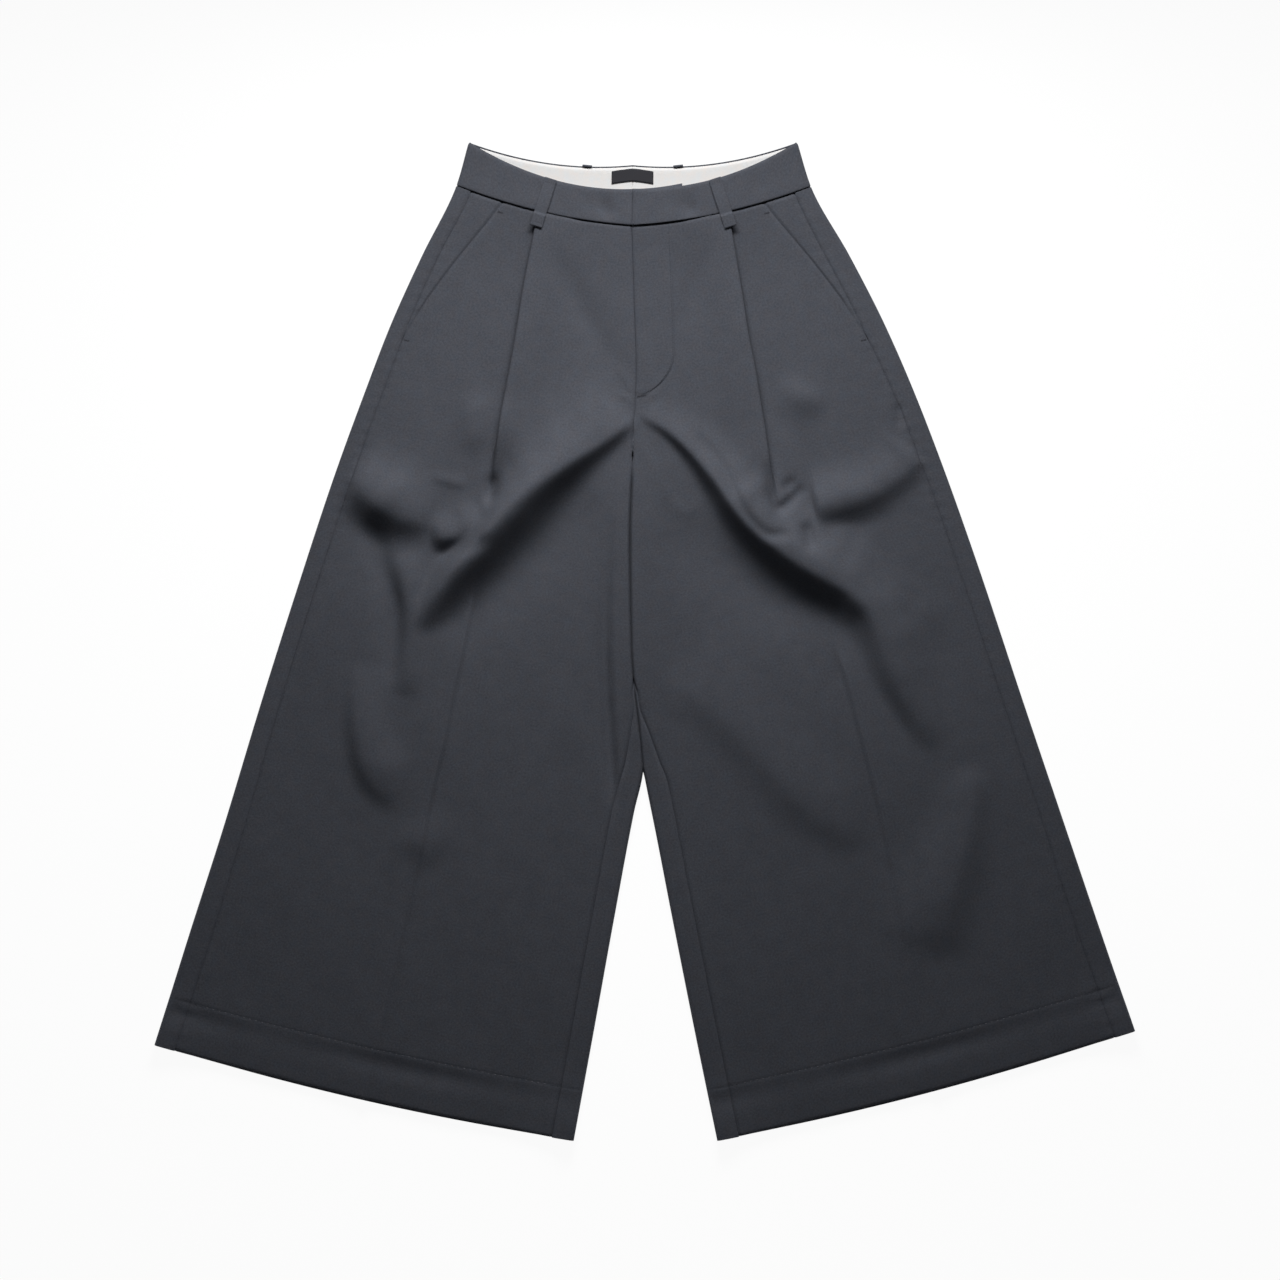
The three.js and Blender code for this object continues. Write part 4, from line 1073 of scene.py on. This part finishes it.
Stitch = namedtuple("Stitch", "length width height pitch")
FLY_STITCH = Stitch(1.7, 0.5, 0.45, 2.5)
LOOP_STITCH = Stitch(1.7, 0.5, 0.45, 2.2)
TACK_STITCH = Stitch(2.4, 0.55, 0.5, 0.55)
HEM_STITCH = Stitch(2.2, 0.75, 0.5, 6.5)
HEM_END_STITCH = Stitch(2.2, 0.75, 0.5, 4)
THREAD = woven("dark thread", (0.03, 0.032, 0.04), (0.07, 0.074, 0.088), ridge=0.35, fleck=1.6)
PALE_THREAD = woven("hem thread", (0.1, 0.104, 0.12), (0.24, 0.25, 0.28), ridge=0.35, fleck=1.6)


def on_front(leg, t, d):
    """Points on a front panel, one for each row and distance."""
    rows = rows_of(leg, t)
    d = np.asarray(d, float).reshape(-1, 1)
    past = d > read(leg.edge, "crease", rows.t) * rows.width
    return place(rows, d, np.where(past, lower_at(rows, d), surface_at(rows, d)))[:, 0]


def stitched(name, lines, stitch, material, across=False):
    """Rows of stitches along lines, each stitch a small spindle half sunk in the cloth."""
    bm = bmesh.new()
    grain = bm.loops.layers.uv.new("grain")
    for line in lines:
        gone = gone_along(line)
        count = max(1, int(gone[-1] / stitch.pitch))
        for middle in (np.arange(count) + 0.5) / count * gone[-1]:
            here, ahead, behind = (
                Vector([np.interp(middle + step, gone, line[:, k]) for k in range(3)])
                for step in (0, 1, -1)
            )
            way = (ahead - behind).normalized()
            side = Vector((0, 0, 1)).cross(way).normalized()
            if across:
                way, side = side, -way
            up = way.cross(side)
            turned = Matrix((side, up, way)).transposed().to_4x4()
            sized = Matrix.Diagonal((stitch.width / 2, stitch.height / 2, stitch.length / 2, 1))
            placed = Matrix.Scale(MM, 4) @ Matrix.Translation(here) @ turned @ sized
            bmesh.ops.create_uvsphere(bm, u_segments=6, v_segments=4, radius=1, matrix=placed)
    for face in bm.faces:
        face.smooth = True
        for loop in face.loops:
            loop[grain].uv = loop.vert.co.xy
    piece = lay_out(name, bm)
    piece.data.materials.append(material)
    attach(piece, "root")


FLY_STITCH_T = np.linspace(0.006, FLY_FOOT - 0.0005, 90)
FLY_STITCH_INSET = 0.6
fly_line = on_front(LEFT, FLY_STITCH_T, fly_edge_at(FLY_STITCH_T) - FLY_STITCH_INSET)
stitched("fly_stitching", [fly_line], FLY_STITCH, THREAD)

FLY_TACK_T = 0.187
FLY_TACK = (1.5, 11.5)
POCKET_TACK_T = (0.012, POCKET_FOOT - 0.006)
POCKET_TACK = (7, 1.5)  # both ends, from the pocket's mouth inwards
tacks = [on_front(LEFT, [FLY_TACK_T] * 2, FLY_TACK)]
for leg in (RIGHT, LEFT):
    for t in POCKET_TACK_T:
        end = front_end(rows_of(leg, [t])).item()
        tacks.append(on_front(leg, [t] * 2, end - np.array(POCKET_TACK)))
stitched("bar_tacks", tacks, TACK_STITCH, THREAD, across=True)
stitched("loop_stitching", loop_tacks, LOOP_STITCH, THREAD)

HEM_STARTS = 38
HEM_ENDS = 15
HEM_POINTS = 80
DARK_STARTS = 30
DARK_ENDS = 9
DARK_REACH = np.array([-5, 5])
pricks, dark_pricks = [], []
for leg in (RIGHT, LEFT):
    seam = rows_of(leg, [HEM_LINE]).seam.item()
    d = np.linspace(HEM_STARTS, seam - HEM_ENDS, HEM_POINTS)
    pricks.append(on_front(leg, [HEM_LINE] * HEM_POINTS, d))
    for middle in (DARK_STARTS, seam - DARK_ENDS):
        dark_pricks.append(on_front(leg, [HEM_LINE] * 2, middle + DARK_REACH))
stitched("hem_stitching", pricks, HEM_STITCH, PALE_THREAD)
stitched("hem_ends_stitching", dark_pricks, HEM_END_STITCH, THREAD)


# Surface, light and camera
# The trousers lie on a white surface under a soft light beyond the waist, so the cloth darkens towards
# the hems. The camera looks straight down on them.

FRAME_WIDTH = 1.344
FRAME_CENTRE = (-0.00525, 0.0021)
CAMERA_HEIGHT = 3.4

bpy.ops.mesh.primitive_plane_add(size=8, location=(0, 0, 0))
floor = bpy.context.object
floor.name = "floor"
paper = bpy.data.materials.new("white paper")
paper.use_nodes = True
surface = paper.node_tree.nodes["Principled BSDF"]
surface.inputs["Base Color"].default_value = (0.12, 0.12, 0.12, 1)
surface.inputs["Roughness"].default_value = 0.9
surface.inputs["Specular IOR Level"].default_value = 0
surface.inputs["Emission Color"].default_value = (1, 1, 1, 1)
surface.inputs["Emission Strength"].default_value = 0.94
floor.data.materials.append(paper)

camera_data = bpy.data.cameras.new("camera")
camera = bpy.data.objects.new("camera", camera_data)
bpy.context.collection.objects.link(camera)
camera.location = (*FRAME_CENTRE, CAMERA_HEIGHT)
camera_data.angle = 2 * math.atan(FRAME_WIDTH / 2 / CAMERA_HEIGHT)
bpy.context.scene.camera = camera


def soft_light(name, place, aim, size, power):
    data = bpy.data.lights.new(name, "AREA")
    data.size = size
    data.energy = power
    lamp = bpy.data.objects.new(name, data)
    bpy.context.collection.objects.link(lamp)
    lamp.location = place
    lamp.rotation_euler = (Vector(aim) - Vector(place)).to_track_quat("-Z", "Y").to_euler()


soft_light("window", (0.0, 1.0, 0.62), (0, -0.5, 1.32), 0.6, 25)

world = bpy.data.worlds.new("studio")
world.use_nodes = True
world.node_tree.nodes["Background"].inputs["Color"].default_value = (0.95, 0.97, 1, 1)
world.node_tree.nodes["Background"].inputs["Strength"].default_value = 0.055
bpy.context.scene.world = world
bpy.context.scene.view_settings.view_transform = "Standard"
